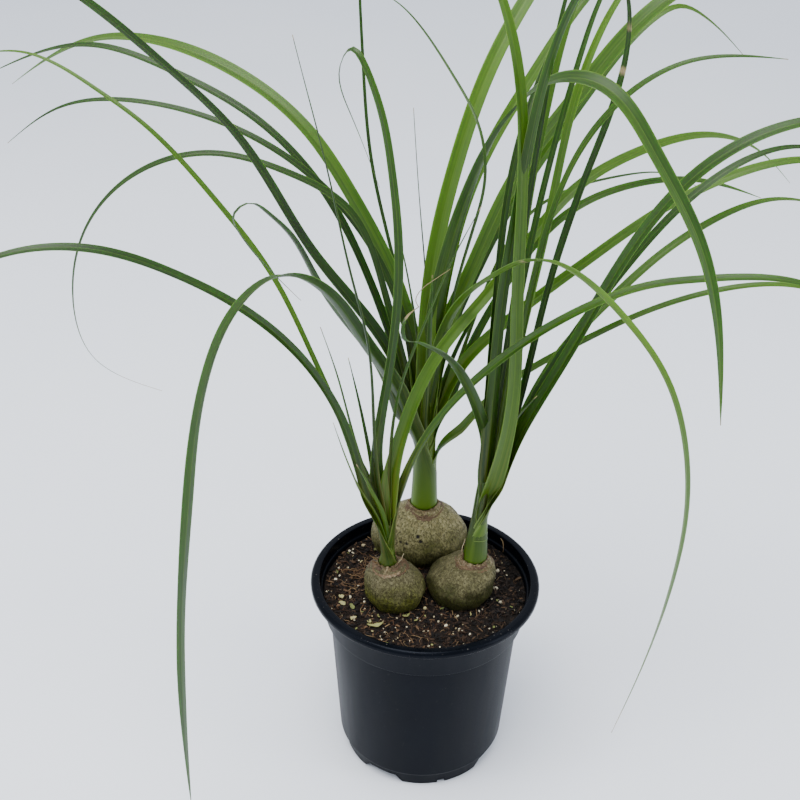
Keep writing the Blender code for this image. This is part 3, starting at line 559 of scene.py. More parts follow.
def leaf_material(name):
    """Satin strap leaf. Attribute Leaf holds the share of the length, the place
    across, a number for each leaf and how dry it is. Grain holds metres across
    and metres above the place where the leaf leaves its neck."""
    n = Nodes(bpy.data.materials.new("leaf_" + name))
    _, across, which, dry = n.split("Leaf")
    grain = n.grain()
    rise = n.axis(grain, "Y")
    fine = n.drawn_noise(grain, (2600.0, 26.0, 1.0), 2.0)
    streak = n.drawn_noise(grain, (900.0, 9.0, 1.0))
    cloud = n.drawn_noise(grain, (70.0, 14.0, 1.0))
    colour = n.ramp(n.total((streak, 0.45), (cloud, 0.30), (which, 0.42), (fine, 0.14)), LEAF_STOPS)
    middle = n.math("ABSOLUTE", n.centred(across))
    away = n.math("ABSOLUTE", n.math("SUBTRACT", rise, BLUSH_HEIGHT))
    blush = n.product(n.scaled(away, 0.0, BLUSH_REACH, BLUSH[name], 0.0), n.scaled(streak, 0.42, 0.62))
    colour = n.mix(blush, colour, BASE_BROWN)
    colour = n.mix(n.scaled(middle, 0.0, 0.05, 0.22, 0.0), colour, MIDRIB_COLOUR)
    colour = n.mix(n.scaled(middle, 0.45, 0.5, 0.0, 0.4), colour, EDGE_COLOUR)
    margin = n.product(n.scaled(middle, 0.43, 0.5), n.scaled(rise, 0.0, 0.03, 1.0, 0.0))
    colour = n.mix(n.product(margin, 0.12), colour, SHEATH_EDGE_COLOUR)
    colour = n.mix(n.scaled(rise, 0.01, -0.035, 0.0, 0.55), colour, NECK_COLOUR)
    ragged = n.total((dry, 1.0), (n.centred(streak), 0.5))
    crisp = n.product(n.scaled(ragged, 0.3, 0.6), n.scaled(dry, 0.02, 0.1))
    colour = n.mix(crisp, colour, n.ramp(fine, DRY_STOPS))
    n.shade(Base_Color=colour, Roughness=n.scaled(cloud, 0.3, 0.7, 0.36, 0.48), Specular_IOR_Level=0.26,
            Subsurface_Weight=0.25, Subsurface_Radius=(0.45, 0.8, 0.1), Subsurface_Scale=0.0015,
            Normal=n.bump(n.total((fine, 1.0), (streak, 0.7)), 0.35, 0.00025))
    return n.owner


def bark_material(name):
    """Corky skin: short dark fissures in a net, olive below and tan above, the olive
    darkened by painted shade too. Skin holds the share of the height, the nearness of
    the neck and the painted shade of the pits."""
    tan_share, olive_and_shade_share, tan_from = BARK_SHARES[name]
    n = Nodes(bpy.data.materials.new("bark_" + name))
    height, seat, pit_shade, _ = n.split("Skin")
    place = n.object_place()
    warp = n.warped(place, 330.0, 0.0024)
    patch = n.noise(place, 110.0)
    other = n.noise(place, 260.0)
    breaks = n.noise(place, 560.0, 1.0)
    speckle = n.drawn_noise(warp, (620.0, 620.0, 190.0), 2.0, 0.5)
    dashes = n.drawn_noise(warp, (1000.0, 1000.0, 320.0), 1.0, 0.4)

    # Fissures: a broken net, and dashes that run up the base
    threads = n.scaled(n.net(n.mapping(warp, (470.0, 470.0, 290.0))), 0.05, 0.22, 1.0, 0.0)
    kept = n.product(n.scaled(breaks, 0.42, 0.54), n.scaled(other, 0.3, 0.6, 0.6, 1.0))
    net = n.product(n.product(threads, kept), 0.75)
    ring = n.math("SINE", n.total((seat, 38.0), (patch, 12.0)))
    rings = n.product(n.scaled(ring, 0.1, 0.9, 0.0, 0.7), n.scaled(seat, 0.15, 0.75))
    cracks = n.math("MAXIMUM", n.math("MAXIMUM", net, n.scaled(dashes, 0.43, 0.34)), rings)

    # Tones: olive with painted shade to tan, green patches low down, torn skin by the neck, painted pit
    # shade, darker bottom
    olive_and_shade = n.ramp(speckle, shaded(OLIVE_AND_SHADE_STOPS, olive_and_shade_share))
    tan = n.ramp(speckle, shaded(TAN_STOPS, tan_share))
    level = n.total((height, 1.0), (n.centred(patch), 0.8))
    # Olive below and tan above; the olive also holds painted shade of the lower half
    colour = n.mix(n.scaled(level, tan_from, tan_from + 0.48), olive_and_shade, tan)
    green = n.product(n.scaled(patch, 0.53, 0.70), n.scaled(height, 0.55, 0.25))
    colour = n.mix(n.product(green, 0.6), colour, BARK_GREEN)
    colour = n.mix(n.product(cracks, 0.78), colour, CRACK_COLOUR)
    torn = n.total((seat, 1.0), (n.centred(other), 1.1))
    colour = n.mix(n.scaled(torn, 0.60, 1.0, 0.0, 0.7), colour, n.ramp(speckle, SKIN_STOPS))
    # Painted shade in the pits
    colour = n.mix(pit_shade, colour, PIT_SHADE_COLOUR)
    # Darker towards the bottom of the base, near the mix
    low_dark = n.scaled(n.total((height, 1.0), (patch, 0.25)), 0.36, 0.22, 0.0, 0.75)
    cork = n.bump(n.total((speckle, 0.5), (cracks, -1.0)), 0.8, 0.0007)
    n.shade(Base_Color=n.mix(low_dark, colour, LOW_DARK_COLOUR), Roughness=0.66, Specular_IOR_Level=0.22,
            Normal=n.bump(other, 0.5, 0.0016, cork))
    return n.owner


def plastic_material():
    """Near-black moulded plastic: satin walls, a glossier rim, faint flow marks
    and a few specks of dust."""
    n = Nodes(bpy.data.materials.new("pot_plastic"))
    place = n.object_place()
    height = n.axis(place, "Z")
    flow = n.drawn_noise(place, (60.0, 60.0, 9.0))
    cloud = n.noise(place, 34.0, 4.0)
    grit = n.noise(place, 2400.0, 2.0)
    dust = n.noise(place, 700.0, 2.0, 0.5)
    colour = n.ramp(n.total((cloud, 0.5), (flow, 0.5)), PLASTIC_STOPS)
    worn = n.product(n.scaled(height, POT_HEIGHT - 14.0 * MM, POT_HEIGHT - 6.0 * MM, 0.1, 0.5),
                     n.scaled(dust, 0.70, 0.78))
    satin = n.scaled(height, POT_HEIGHT - 9.0 * MM, POT_HEIGHT - 5.0 * MM, 0.42, 0.27)
    rough = n.total((satin, 1.0), (n.centred(flow), 0.25))
    n.shade(Base_Color=n.mix(worn, colour, DUST_COLOUR), Roughness=rough, Specular_IOR_Level=0.08,
            Specular_Tint=(0.70, 0.80, 1.0, 1.0),
            Normal=n.bump(grit, 0.10, 0.0003, n.bump(flow, 0.05, 0.002)))
    return n.owner


def mix_material():
    """Damp peat: dark, rough and mottled at the size of a crumb, wetter at the right and darker there
    with painted shade.
    """
    n = Nodes(bpy.data.materials.new("peat"))
    place = n.object_place()
    coarse = n.noise(place, 420.0, 4.0, 0.65)
    fine = n.noise(place, 1900.0, 3.0, 0.6)
    colour = n.ramp(n.total((coarse, 0.65), (fine, 0.35)), PEAT_STOPS)
    # Darker to the right: wetter there, with painted shade of the leaves and the pot wall
    wet_and_shade = n.scaled(n.axis(place, "X"), *WET_AND_SHADED_SIDE, 0.0, 0.5)
    n.shade(Base_Color=n.mix(wet_and_shade, colour, WET_AND_SHADED_PEAT), Roughness=0.9, Specular_IOR_Level=0.2,
            Normal=n.bump(fine, 0.8, 0.0007, n.bump(coarse, 0.8, 0.0016)))
    return n.owner


def toned_material(name, stops, roughness, bump=0.3, wet_and_shade=0.0):
    """Small loose pieces whose tone is a number for each piece, plus mottling, darker at the right by a
    share for wetness and painted shade.
    """
    n = Nodes(bpy.data.materials.new(name))
    place = n.object_place()
    mottle = n.noise(place, 1500.0)
    colour = n.ramp(n.total((n.split("Leaf")[2], 0.75), (mottle, 0.25)), stops)
    # Darker to the right: wetter there, with painted shade of the leaves and the pot wall
    damp_and_shade = n.scaled(n.axis(place, "X"), *WET_AND_SHADED_SIDE, 0.0, wet_and_shade)
    n.shade(Base_Color=n.mix(damp_and_shade, colour, WET_AND_SHADED_CRUMB), Roughness=roughness, Specular_IOR_Level=0.28,
            Normal=n.bump(mottle, bump, 0.0005))
    return n.owner


def paper_material():
    """Dry torn skins: rust, tan and whitish, streaked along their length."""
    n = Nodes(bpy.data.materials.new("dry_skin"))
    streak = n.drawn_noise(n.grain(), (1800.0, 300.0, 1.0))
    colour = n.ramp(n.total((streak, 0.45), (n.split("Leaf")[2], 0.55)), PAPER_STOPS)
    n.shade(Base_Color=colour, Roughness=0.6, Specular_IOR_Level=0.3, Subsurface_Weight=0.2,
            Subsurface_Radius=(1.0, 0.7, 0.4), Subsurface_Scale=0.0008,
            Normal=n.bump(streak, 0.5, 0.0004))
    return n.owner


def floor_material():
    """Pale matt paper with hardly any tone of its own."""
    n = Nodes(bpy.data.materials.new("floor_paper"))
    soft = n.noise(n.object_place(), 1.6, 2.0)
    n.shade(Base_Color=n.mix(n.scaled(soft, 0.3, 0.7), *FLOOR_COLOURS),
            Roughness=0.9, Specular_IOR_Level=0.1)
    return n.owner


def grid_faces(rows, columns, closed=False):
    """Quads of a grid whose points run row by row; closed joins last to first."""
    first = np.arange(rows - 1)[:, None] * columns
    across = np.arange(columns if closed else columns - 1)[None, :]
    right = (across + 1) % columns
    corners = (first + across, first + right, first + columns + right, first + columns + across)
    return np.stack(corners, axis=2).reshape(-1, 4).tolist()


def both_sides(rows, columns):
    """Faces of a thin sheet whose second skin follows the first, closed all round."""
    faces = grid_faces(rows, columns)
    size = rows * columns
    faces += [[corner + size for corner in face[::-1]] for face in faces]
    for k in range(rows - 1):
        low, high = k * columns, (k + 1) * columns
        faces.append([low, high, high + size, low + size])
        end, end_high = low + columns - 1, high + columns - 1
        faces.append([end_high, end, end + size, end_high + size])
    for k in range(columns - 1):
        faces.append([k, k + size, k + 1 + size, k + 1])
        last = (rows - 1) * columns + k
        faces.append([last + 1, last + 1 + size, last + size, last])
    return faces


def capped_faces(rows, sides):
    """Faces of a closed grid, and one at each of its ends."""
    ends = [list(range(sides))[::-1], [(rows - 1) * sides + k for k in range(sides)]]
    return grid_faces(rows, sides, closed=True) + ends


def new_mesh(name, points, faces):
    """A mesh with shared smooth normals."""
    mesh = bpy.data.meshes.new(name)
    mesh.from_pydata(points, [], faces)
    mesh.shade_smooth()
    return mesh


def new_object(name, data):
    """An object that is linked to the scene."""
    made = bpy.data.objects.new(name, data)
    bpy.context.scene.collection.objects.link(made)
    return made


class Heap:
    """Points, faces and point attributes of many small pieces of one mesh."""

    def __init__(self):
        self.points, self.faces, self.leaf, self.grain = [], [], [], []
        self.count = 0

    def add(self, points, faces, leaf, grain=None):
        points = np.asarray(points, dtype=float).reshape(-1, 3)
        size = len(points)
        self.points.append(points)
        self.faces += [[index + self.count for index in face] for face in faces]
        self.leaf.append(np.broadcast_to(np.asarray(leaf, dtype=float), (size, 4)))
        self.grain.append(points if grain is None else np.asarray(grain, dtype=float))
        self.count += size

    def object(self, name, material, slot, replaced=(), smooth=True):
        mesh = new_mesh(name, np.concatenate(self.points).tolist(), self.faces)
        if not smooth:
            mesh.shade_flat()
        store(mesh, "Leaf", "FLOAT_COLOR", np.concatenate(self.leaf))
        store(mesh, "Grain", "FLOAT_VECTOR", np.concatenate(self.grain))
        place(name, mesh, material, slot, replaced)


def store(mesh, name, kind, values):
    """Write one point attribute of a mesh."""
    attribute = mesh.attributes.new(name, kind, "POINT")
    attribute.data.foreach_set("color" if kind == "FLOAT_COLOR" else "vector", values.ravel())


def place(name, mesh, material, slot, replaced=()):
    """Make an object of a mesh with its material, ride it on the plant and hide the solids that it
    replaces.
    """
    mesh.materials.append(material)
    made = new_object(name, mesh)
    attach(made, "root")
    if replaced:
        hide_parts(*replaced)
    return made


def camera_axes():
    """The camera's right, up and forward directions."""
    level = math.cos(CAMERA_PITCH)
    forward = np.array((-math.sin(CAMERA_YAW) * level, math.cos(CAMERA_YAW) * level,
                        -math.sin(CAMERA_PITCH)))
    right = np.cross(forward, UP)
    right /= np.linalg.norm(right)
    up = np.cross(right, forward)
    turn, tilt = math.cos(CAMERA_ROLL), math.sin(CAMERA_ROLL)
    return turn * right + tilt * up, turn * up - tilt * right, forward


def sight(px, py):
    """The way from the camera through a pixel of the photograph."""
    right, up, forward = camera_axes()
    way = LENS * forward + ((px - FRAME / 2.0) * right - (py - FRAME / 2.0) * up) * SENSOR / FRAME
    return way / np.linalg.norm(way)


def seen_on_mix(px, py):
    """The place on the potting mix that the photograph shows at a pixel."""
    way = sight(px, py)
    height = MIX_EDGE_HEIGHT + MIX_MOUND / 2.0
    for _ in range(4):
        x, y, _ = CAMERA_AT + way * (height - CAMERA_AT[2]) / way[2]
        height = mix_height(x, y)
    return x, y, height


def smooth_step(value, low, high):
    part = np.clip((value - low) / (high - low), 0.0, 1.0)
    return part * part * (3.0 - 2.0 * part)


def unit(rows):
    return rows / np.maximum(np.linalg.norm(rows, axis=-1, keepdims=True), 1e-12)


def natural_spline(knots, count):
    """Points evenly spaced in parameter on a natural cubic through the knots."""
    knots = np.asarray(knots, dtype=float)
    steps = np.linalg.norm(np.diff(knots, axis=0), axis=1)
    at = np.concatenate([[0.0], np.cumsum(steps)])
    size = len(knots)
    matrix = np.eye(size)
    right = np.zeros_like(knots)
    for k in range(1, size - 1):
        before, after = steps[k - 1], steps[k]
        matrix[k, k - 1: k + 2] = (before, 2.0 * (before + after), after)
        right[k] = 6.0 * ((knots[k + 1] - knots[k]) / after - (knots[k] - knots[k - 1]) / before)
    bend = np.linalg.solve(matrix, right)
    wanted = np.linspace(0.0, at[-1], count)
    index = np.clip(np.searchsorted(at, wanted, side="right") - 1, 0, size - 2)
    span = steps[index][:, None]
    ahead = (at[index + 1] - wanted)[:, None]
    past = (wanted - at[index])[:, None]
    return (bend[index] * ahead ** 3 / (6.0 * span) + bend[index + 1] * past ** 3 / (6.0 * span)
            + (knots[index] / span - bend[index] * span / 6.0) * ahead
            + (knots[index + 1] / span - bend[index + 1] * span / 6.0) * past)


def arched_route(length, lean, droop, bend):
    """(out, up) knots of a leaf whose lean grows from lean to droop degrees."""
    parts = 20
    out = up = 0.0
    knots = [(0.0, 0.0)]
    for k in range(parts):
        share = ((k + 0.5) / parts) ** bend
        angle = math.radians(lean + (droop - lean) * share)
        out += math.sin(angle) * length / parts
        up += math.cos(angle) * length / parts
        if (k + 1) % 4 == 0:
            knots.append((out, up))
    return knots


def around(turn):
    """The outward and the level sideways direction at an angle in radians."""
    across, back = math.cos(turn), math.sin(turn)
    return np.array((across, back, 0.0)), np.array((-back, across, 0.0))


def leaf_midrib(fan, leaf, count):
    """World points of a leaf's midrib."""
    azimuth, _, _, route, drift = leaf
    outward, sideways = around(math.radians(azimuth))
    path = natural_spline(route, count)
    part = np.linspace(0.0, 1.0, count)[:, None]
    points = np.array(fan["at"]) + path[:, :1] * outward + path[:, 1:] * UP + drift * part ** 2 * sideways
    return points * MM


def leaf_width(part, leaf):
    """Widths at shares of the length: narrower past the base, then a taper."""
    _, width, taper, _, _ = leaf
    narrowed = 1.0 - BASE_EXTRA * smooth_step(part, 0.0, WIDE_BASE_SHARE)
    tapered = width * MM * narrowed * (1.0 - part ** taper) ** 0.85
    return np.maximum(TIP_WIDTH * (1.3 - 0.9 * part), tapered)


def clearance(first, second):
    """Least distance between two rows of points."""
    return float(np.sqrt(((first[:, None, :] - second[None, :, :]) ** 2).sum(axis=2)).min())


def seeded_leaves(name, placed):
    """Leaves by rule, each turned until it is clear of the other plants."""
    rule = SEEDED_LEAVES[name]
    source = random.Random(rule["seed"])
    low, high = rule["azimuth"]
    leaves = []
    for k in range(rule["count"]):
        azimuth = low + (high - low) * (k + source.uniform(0.2, 0.8)) / rule["count"]
        route = arched_route(source.uniform(*rule["length"]), source.uniform(*rule["lean"]),
                             source.uniform(*rule["droop"]), source.uniform(1.2, 2.0))
        width = source.uniform(*rule["width"])
        for step in sorted(range(MOST_STEPS, -MOST_STEPS - 1, -1), key=abs):
            leaf = (azimuth + step * AZIMUTH_STEP, width, SEEDED_TAPER, route, 0.0)
            points = leaf_midrib(FANS[name], leaf, MIDRIB_POINTS)
            if all(clearance(points, other) > OTHER_PLANT_CLEARANCE + (width + wide) * MM / 2.0
                   for plant, other, wide in placed if plant != name):
                leaves.append(leaf)
                placed.append((name, points, width))
                break
    return leaves


def all_leaves():
    """Every crown's leaves: those drawn one by one, then those that follow a rule."""
    placed = []
    for name, leaves in LEAVES.items():
        for leaf in leaves:
            placed.append((name, leaf_midrib(FANS[name], leaf, MIDRIB_POINTS), leaf[1]))
    return {name: leaves + seeded_leaves(name, placed) for name, leaves in LEAVES.items()}


def neck_foot(name):
    """Middle of the bottom end of a neck, in its seat."""
    base = CAUDICES[name]
    x = base["at"][0] + base["lean"][0]
    y = base["at"][1] + base["lean"][1]
    return np.array((x, y, base["heights"][2])) * MM - base["seat"] * MM * UP


def neck_axis(name):
    """The neck's foot, its way up and its length up to where the leaves fan out."""
    foot = neck_foot(name)
    way = np.array(FANS[name]["at"]) * MM - foot
    span = np.linalg.norm(way)
    return foot, way / span, span


def neck_radius(name, share):
    """Radius at a share of the way from the foot (0) to the fan (1)."""
    low = CAUDICES[name]["neck"] * MM
    high = FANS[name]["radius"] * MM
    return low + (high - low) * np.clip(share, 0.0, 1.0)


def leaf_rolls(name, index, across, above, source):
    """Rolls about the midrib, in degrees, of the rising part and past the arch: most
    leaves of the photograph turn their faces to the front."""
    front = camera_axes()[2]
    sides = []
    for share in ROLL_JUDGED:
        row = int(share * len(across))
        sides.append(-np.sign(above[row] @ front * (across[row] @ front)))
    if abs(across[0] @ front) > LEVEL_FACING:
        sides[0] = sides[1]
    drawn = [side * source.uniform(0.6, 1.0) * most for side, most in zip(sides, MOST_ROLL)]
    return ROLLS.get((name, index), drawn)


def dryness(name, index, part, length):
    """How dry a leaf is at shares of its length: at its tip, and in rusty spots."""
    start = DRY_TIPS.get((name, index), 1.0 - DRY_TIP / length)
    dry = smooth_step(part, start - 0.01, start + 0.02)
    for spot in RUSTY_SPOTS.get((name, index), ()):
        dry = np.maximum(dry, 0.8 * np.exp(-((part - spot) * length / RUSTY_SPOT) ** 2))
    return dry


def per_point(*values):
    """One row of numbers a point, from values per section, per place across or for all."""
    return np.stack(np.broadcast_arrays(*values), axis=-1).reshape(-1, len(values))


def open_blade(name, index, leaf, rank, part, length, source):
    """Widths of a channelled blade at shares of its length, and its points across."""
    outward, sideways = around(math.radians(leaf[0]))
    opening, gone = OPENINGS[name], part * length
    centre = leaf_midrib(FANS[name], leaf, len(part))
    ways = unit(np.gradient(centre, axis=0))
    across = unit(sideways - ways * (ways @ sideways)[:, None])
    above = np.cross(ways, across)
    rising, falling = leaf_rolls(name, index, across, above, source)
    roll = np.radians(rising * (0.5 + 0.5 * smooth_step(gone, 0.0, opening))
                      + (falling - rising) * smooth_step(part, 0.25, 0.6))[:, None]
    turned_across = across * np.cos(roll) + above * np.sin(roll)
    turned_above = above * np.cos(roll) - across * np.sin(roll)

    # The blade leaves the neck's skin, and the younger it is, the nearer the middle
    depth = min(rank, OUTER_LAYERS) / OUTER_LAYERS
    skin = neck_radius(name, 1.0) * (0.95 - 0.7 * depth)
    centre = centre + outward * (skin * (1.0 - smooth_step(gone, 0.0, 2.2 * opening)))[:, None]
    wide = leaf_width(part, leaf) * (1.0 + FULLER_BASES[name] * (1.0 - smooth_step(gone, *FULL_UP_TO)))
    waves, phase = source.uniform(14.0, 30.0), source.uniform(0.0, 6.28)
    wave = EDGE_WAVE * np.sin(part * waves + phase) * smooth_step(part, 0.1, 0.4)
    lift = CHANNEL * (1.3 - part)[:, None] * np.abs(SIDE) ** 1.15 + wave[:, None] * SIDE
    aside = turned_across[:, None, :] * (wide[:, None] / 2.0 * SIDE)[:, :, None]
    raised = turned_above[:, None, :] * (wide[:, None] * lift)[:, :, None]
    return wide, centre[:, None, :] + aside + raised


def leaf_base(name, index, leaf, rank, height, root, half):
    """Points across a leaf base that wraps the neck in its layer and then opens."""
    outward, sideways = around(math.radians(leaf[0]))
    foot, way, span = neck_axis(name)
    radius = neck_radius(name, height / span) - LAYER_STEP * min(rank, OUTER_LAYERS)
    radius = radius * (1.0 - 0.15 * (1.0 - smooth_step(height, -1.0 * MM, 2.2 * MM)))
    turning = root * (0.9 if (name, index) in OUTERMOST else min(0.9, 0.5 + 0.08 * rank))
    opened = smooth_step(height, turning - 4.0 * MM, root + 0.4 * OPENINGS[name])
    reach = SHEATH_REACH * (1.0 - opened) + min(1.3, half / radius[SHEATH_SECTIONS]) * opened
    angle = reach[:, None] * SIDE + 0.25 * math.sin(5.0 * rank) * (1.0 - opened)[:, None]
    ring = np.cos(angle)[:, :, None] * outward + np.sin(angle)[:, :, None] * sideways
    return (foot + height[:, None] * way)[:, None, :] + radius[:, None, None] * ring


def second_skin(points, share, opened):
    """The points across moved in by the thickness, which is less at edges and tip."""
    normal = unit(np.cross(np.gradient(points, axis=0), np.gradient(points, axis=1)))
    full = BLADE_THICKNESS * (1.0 - 0.7 * np.abs(SIDE) ** 3) * (1.0 - 0.5 * share)[:, None]
    thick = full * opened + SHEATH_THICKNESS * (1.0 - opened)
    return points - normal * thick[:, :, None]


def add_blade(heap, name, index, leaf, rank, source):
    """One strap leaf: a base that wraps the neck and opens into a channelled blade."""
    rough = leaf_midrib(FANS[name], leaf, MIDRIB_POINTS)
    length = np.linalg.norm(np.diff(rough, axis=0), axis=1).sum()
    part = np.linspace(0.0, 1.0, max(24, int(length / SECTION_SPACING)))
    wide, blade = open_blade(name, index, leaf, rank, part, length, source)

    # The base starts at the neck's foot, or near the fan if others hide it
    root = leaf[3][0][1] * MM + neck_axis(name)[2]
    start = 0.0 if rank < OUTER_LAYERS - 2 else 0.6 * root
    rising = np.linspace(start, root, SHEATH_SECTIONS, endpoint=False)
    height = np.concatenate([rising, root + part * length])
    points = leaf_base(name, index, leaf, rank, height, root, wide[0] / 2.0)
    weight = smooth_step(part * length, 0.0, OPENINGS[name])[:, None, None]
    points[SHEATH_SECTIONS:] = points[SHEATH_SECTIONS:] * (1.0 - weight) + blade * weight

    below = np.zeros(SHEATH_SECTIONS)
    share = np.concatenate([below, part])
    second = second_skin(points, share, np.concatenate([below, weight.ravel()])[:, None])
    tone = TONES.get((name, index), source.uniform(0.0, 1.0))
    dry = np.concatenate([below, dryness(name, index, part, length)])[:, None]
    half = np.concatenate([np.full(SHEATH_SECTIONS, wide[0] / 2.0), wide / 2.0])[:, None]
    data = per_point(share[:, None], (SIDE + 1.0) / 2.0, tone, dry)
    grain = per_point(half * SIDE + tone * 3.0, (height - root)[:, None], tone * 7.0)
    heap.add(np.stack([points, second]), both_sides(len(points), ACROSS),
             np.tile(data, (2, 1)), np.tile(grain, (2, 1)))
    return blade[-1].mean(axis=0)


def add_tube(heap, knots, radii, sides, leaf, count):
    """A tube along a smooth curve through knots, with a radius at each knot."""
    knots = np.asarray(knots, dtype=float)
    centre = natural_spline(knots, count)
    along = np.linspace(0.0, 1.0, count)
    radius = np.interp(along, np.linspace(0.0, 1.0, len(knots)), radii)
    ways = unit(np.gradient(centre, axis=0))
    guide = np.array((0.31, 0.17, 0.93)) if abs(ways[0][2]) < 0.9 else np.array((0.96, 0.2, 0.1))
    first = unit(np.cross(ways, guide))
    second = np.cross(ways, first)
    angles = np.linspace(0.0, FULL_TURN, sides, endpoint=False)
    ring = (np.cos(angles)[None, :, None] * first[:, None, :]
            + np.sin(angles)[None, :, None] * second[:, None, :])
    length = np.linalg.norm(np.diff(centre, axis=0), axis=1).sum()
    heap.add(centre[:, None, :] + ring * radius[:, None, None], capped_faces(count, sides), leaf,
             per_point(angles * radius.mean(), (along * length)[:, None], 0.0))


def add_crease(heap, name, height, turns):
    """A pale line round part of a neck, where an old leaf was torn away."""
    foot, way, span = neck_axis(name)
    radius = neck_radius(name, height / span) + 0.08 * MM
    knots = []
    for turn in np.radians(np.linspace(*turns, CREASE_KNOTS)):
        outward, _ = around(turn)
        knots.append(foot + way * (height + 0.4 * MM * math.sin(3.0 * turn)) + outward * radius)
    radii = [0.05 * MM] + [0.17 * MM] * (CREASE_KNOTS - 2) + [0.05 * MM]
    add_tube(heap, knots, radii, 6, (0.0, 0.0, 0.9, 0.12), 24)


def start_lean(leaf):
    """How far a leaf leans at its start, and wider leaves count as a little lower."""
    first, second = leaf[3][:2]
    return math.atan2(second[0] - first[0], second[1] - first[1]) + 0.02 * leaf[1]


def build_crown(name, leaves, material):
    """One plant's neck and its leaves, in place of the crown's solid."""
    source = random.Random(100 + CAUDICES[name]["seed"])
    heap = Heap()
    foot, way, span = neck_axis(name)
    inner = LAYER_STEP * (OUTER_LAYERS + 1)
    low, high = neck_radius(name, 0.0) - inner, neck_radius(name, 1.0) - inner
    core = [foot + rise * way for rise in (0.0, 0.5 * span, span, span + FANS[name]["core"] * MM)]
    add_tube(heap, core, [low, (low + high) / 2.0, high, 0.8 * high], 28, (0.0, 0.3, 0.4, 0.0), 40)
    order = sorted(range(len(leaves)), key=lambda k: ((name, k) not in OUTERMOST, -start_lean(leaves[k])))
    for rank, index in enumerate(order):
        tip = add_blade(heap, name, index, leaves[index], rank, source)
        thread = DRY_THREADS.get((name, index))
        if thread:
            knots = [tip + np.array(knot) * MM for knot in thread]
            add_tube(heap, knots, np.linspace(0.26, 0.1, len(knots)) * MM, 6, (1.0, 0.3, 0.6, 1.0), 30)
    if name in CREASES:
        add_crease(heap, name, *CREASES[name])
    heap.object("leaves_" + name, material, "leaf", ("crown_" + name,))


def onion_radius(rise, shoulder):
    """Radius over the widest one, from the widest height (0) to the top (1)."""
    fall, fullness = shoulder
    return (1.0 - rise ** fall) ** fullness


def caudex_ring(base, ring):
    """One ring of a base: how far up and above the widest part it is, how flat the
    skin is, its spread and its height. Rings lie closer together near the neck."""
    low, wide, top = (height * MM for height in base["heights"])
    polar = math.pi * (ring / CAUDEX_RINGS) ** 1.4
    up = math.cos(polar)
    flat = max(math.sin(polar), 1e-3)
    if up <= 0.0:
        return up, 0.0, flat, flat, wide + (wide - low) * up
    rise = math.asin(up) / (math.pi / 2.0)
    spread = onion_radius(min(rise, 1.0), base["shoulder"]) + 1e-4
    return up, rise, flat, spread, wide + (top - wide) * rise


def bark_point(base, ring, turn, phases):
    """A point of the bark, dimpled and leaning, and the fine and coarse noise there."""
    up, rise, flat, spread, level = ring
    ridge = math.sin(9.0 * turn + phases[0]) + 0.7 * math.sin(5.0 * turn + 7.0 * up + phases[1])
    swell = 1.0 + 0.016 * math.sin(2.0 * turn + phases[2])
    across, deep = (radius * MM * spread * swell + BARK_RIDGE * ridge * flat for radius in base["radii"])
    out = (across * math.cos(turn), deep * math.sin(turn))
    spot = Vector((*out, level)) / MM + Vector((base["seed"] * 11.0, 0.0, 0.0))
    fine = noise.noise(Vector((spot.x * 0.62, spot.y * 0.62, spot.z * 0.34)))
    coarse = noise.noise(spot * 0.13)
    reach = max(math.hypot(*out), 1e-6)
    grow = 1.0 + (0.26 * fine + 0.9 * coarse) * MM * min(1.0, reach / (3.0 * MM)) / reach
    drift = rise * rise * (3.0 - 2.0 * rise)
    x, y = (at * MM + drift * lean * MM + off * grow
            for at, lean, off in zip(base["at"], base["lean"], out))
    return x, y, fine, coarse


def by_neck(name, foot, x, y, height, fine, coarse):
    """How near the neck a point is, and its height with wrinkles, a torn lip and the
    sunken seat."""
    torn = TORN_SKINS[name]
    away = math.hypot(x - foot[0], y - foot[1]) - (CAUDICES[name]["neck"] * MM + 0.2 * MM)
    near = min(1.0, max(0.0, 1.0 - away / (torn["wrinkled"] * MM)))
    wrinkle = math.sin(away / (0.33 * MM) + 3.0 * fine + 2.0 * coarse)
    height += torn["wrinkle"] * MM * near * wrinkle * min(1.0, 0.6 + coarse)
    past = away - 0.3 * MM
    lip = max(0.0, 1.0 - (past / (1.9 * MM) if past > 0.0 else -past / (1.0 * MM)))
    height += torn["lip"] * MM * lip * (1.0 + 0.4 * fine)
    return near, height if away >= 0.0 else min(height, foot[2] - 0.3 * MM)


def build_caudex(name, material):
    """One swollen base: dimpled, wrinkled round the neck, with a sunken seat."""
    base = CAUDICES[name]
    source = random.Random(base["seed"])
    phases = [source.uniform(0.0, FULL_TURN) for _ in range(3)]
    low, wide, top = (height * MM for height in base["heights"])
    foot = neck_foot(name)
    points, skin = [], []
    for ring in (caudex_ring(base, k) for k in range(CAUDEX_RINGS + 1)):
        for k in range(CAUDEX_SIDES):
            turn = FULL_TURN * k / CAUDEX_SIDES + math.pi / 2.0
            x, y, fine, coarse = bark_point(base, ring, turn, phases)
            near, height = 0.0, ring[-1]
            if ring[0] > 0.0:
                near, height = by_neck(name, foot, x, y, height, fine, coarse)
            points.append((x, y, height))
            skin.append(((height - low) / (top - low), near, 0.0, 1.0))
    points, skin = np.array(points), np.array(skin)
    if name == PITTED_BASE:
        add_pits(points, skin, foot)
    faces = [face[::-1] for face in grid_faces(CAUDEX_RINGS + 1, CAUDEX_SIDES, closed=True)]
    mesh = new_mesh("base_" + name, points.tolist(), faces)
    store(mesh, "Skin", "FLOAT_COLOR", skin)
    place("base_" + name, mesh, material, "bark", ("caudex_" + name,))
    return points[points[:, 2] > wide]


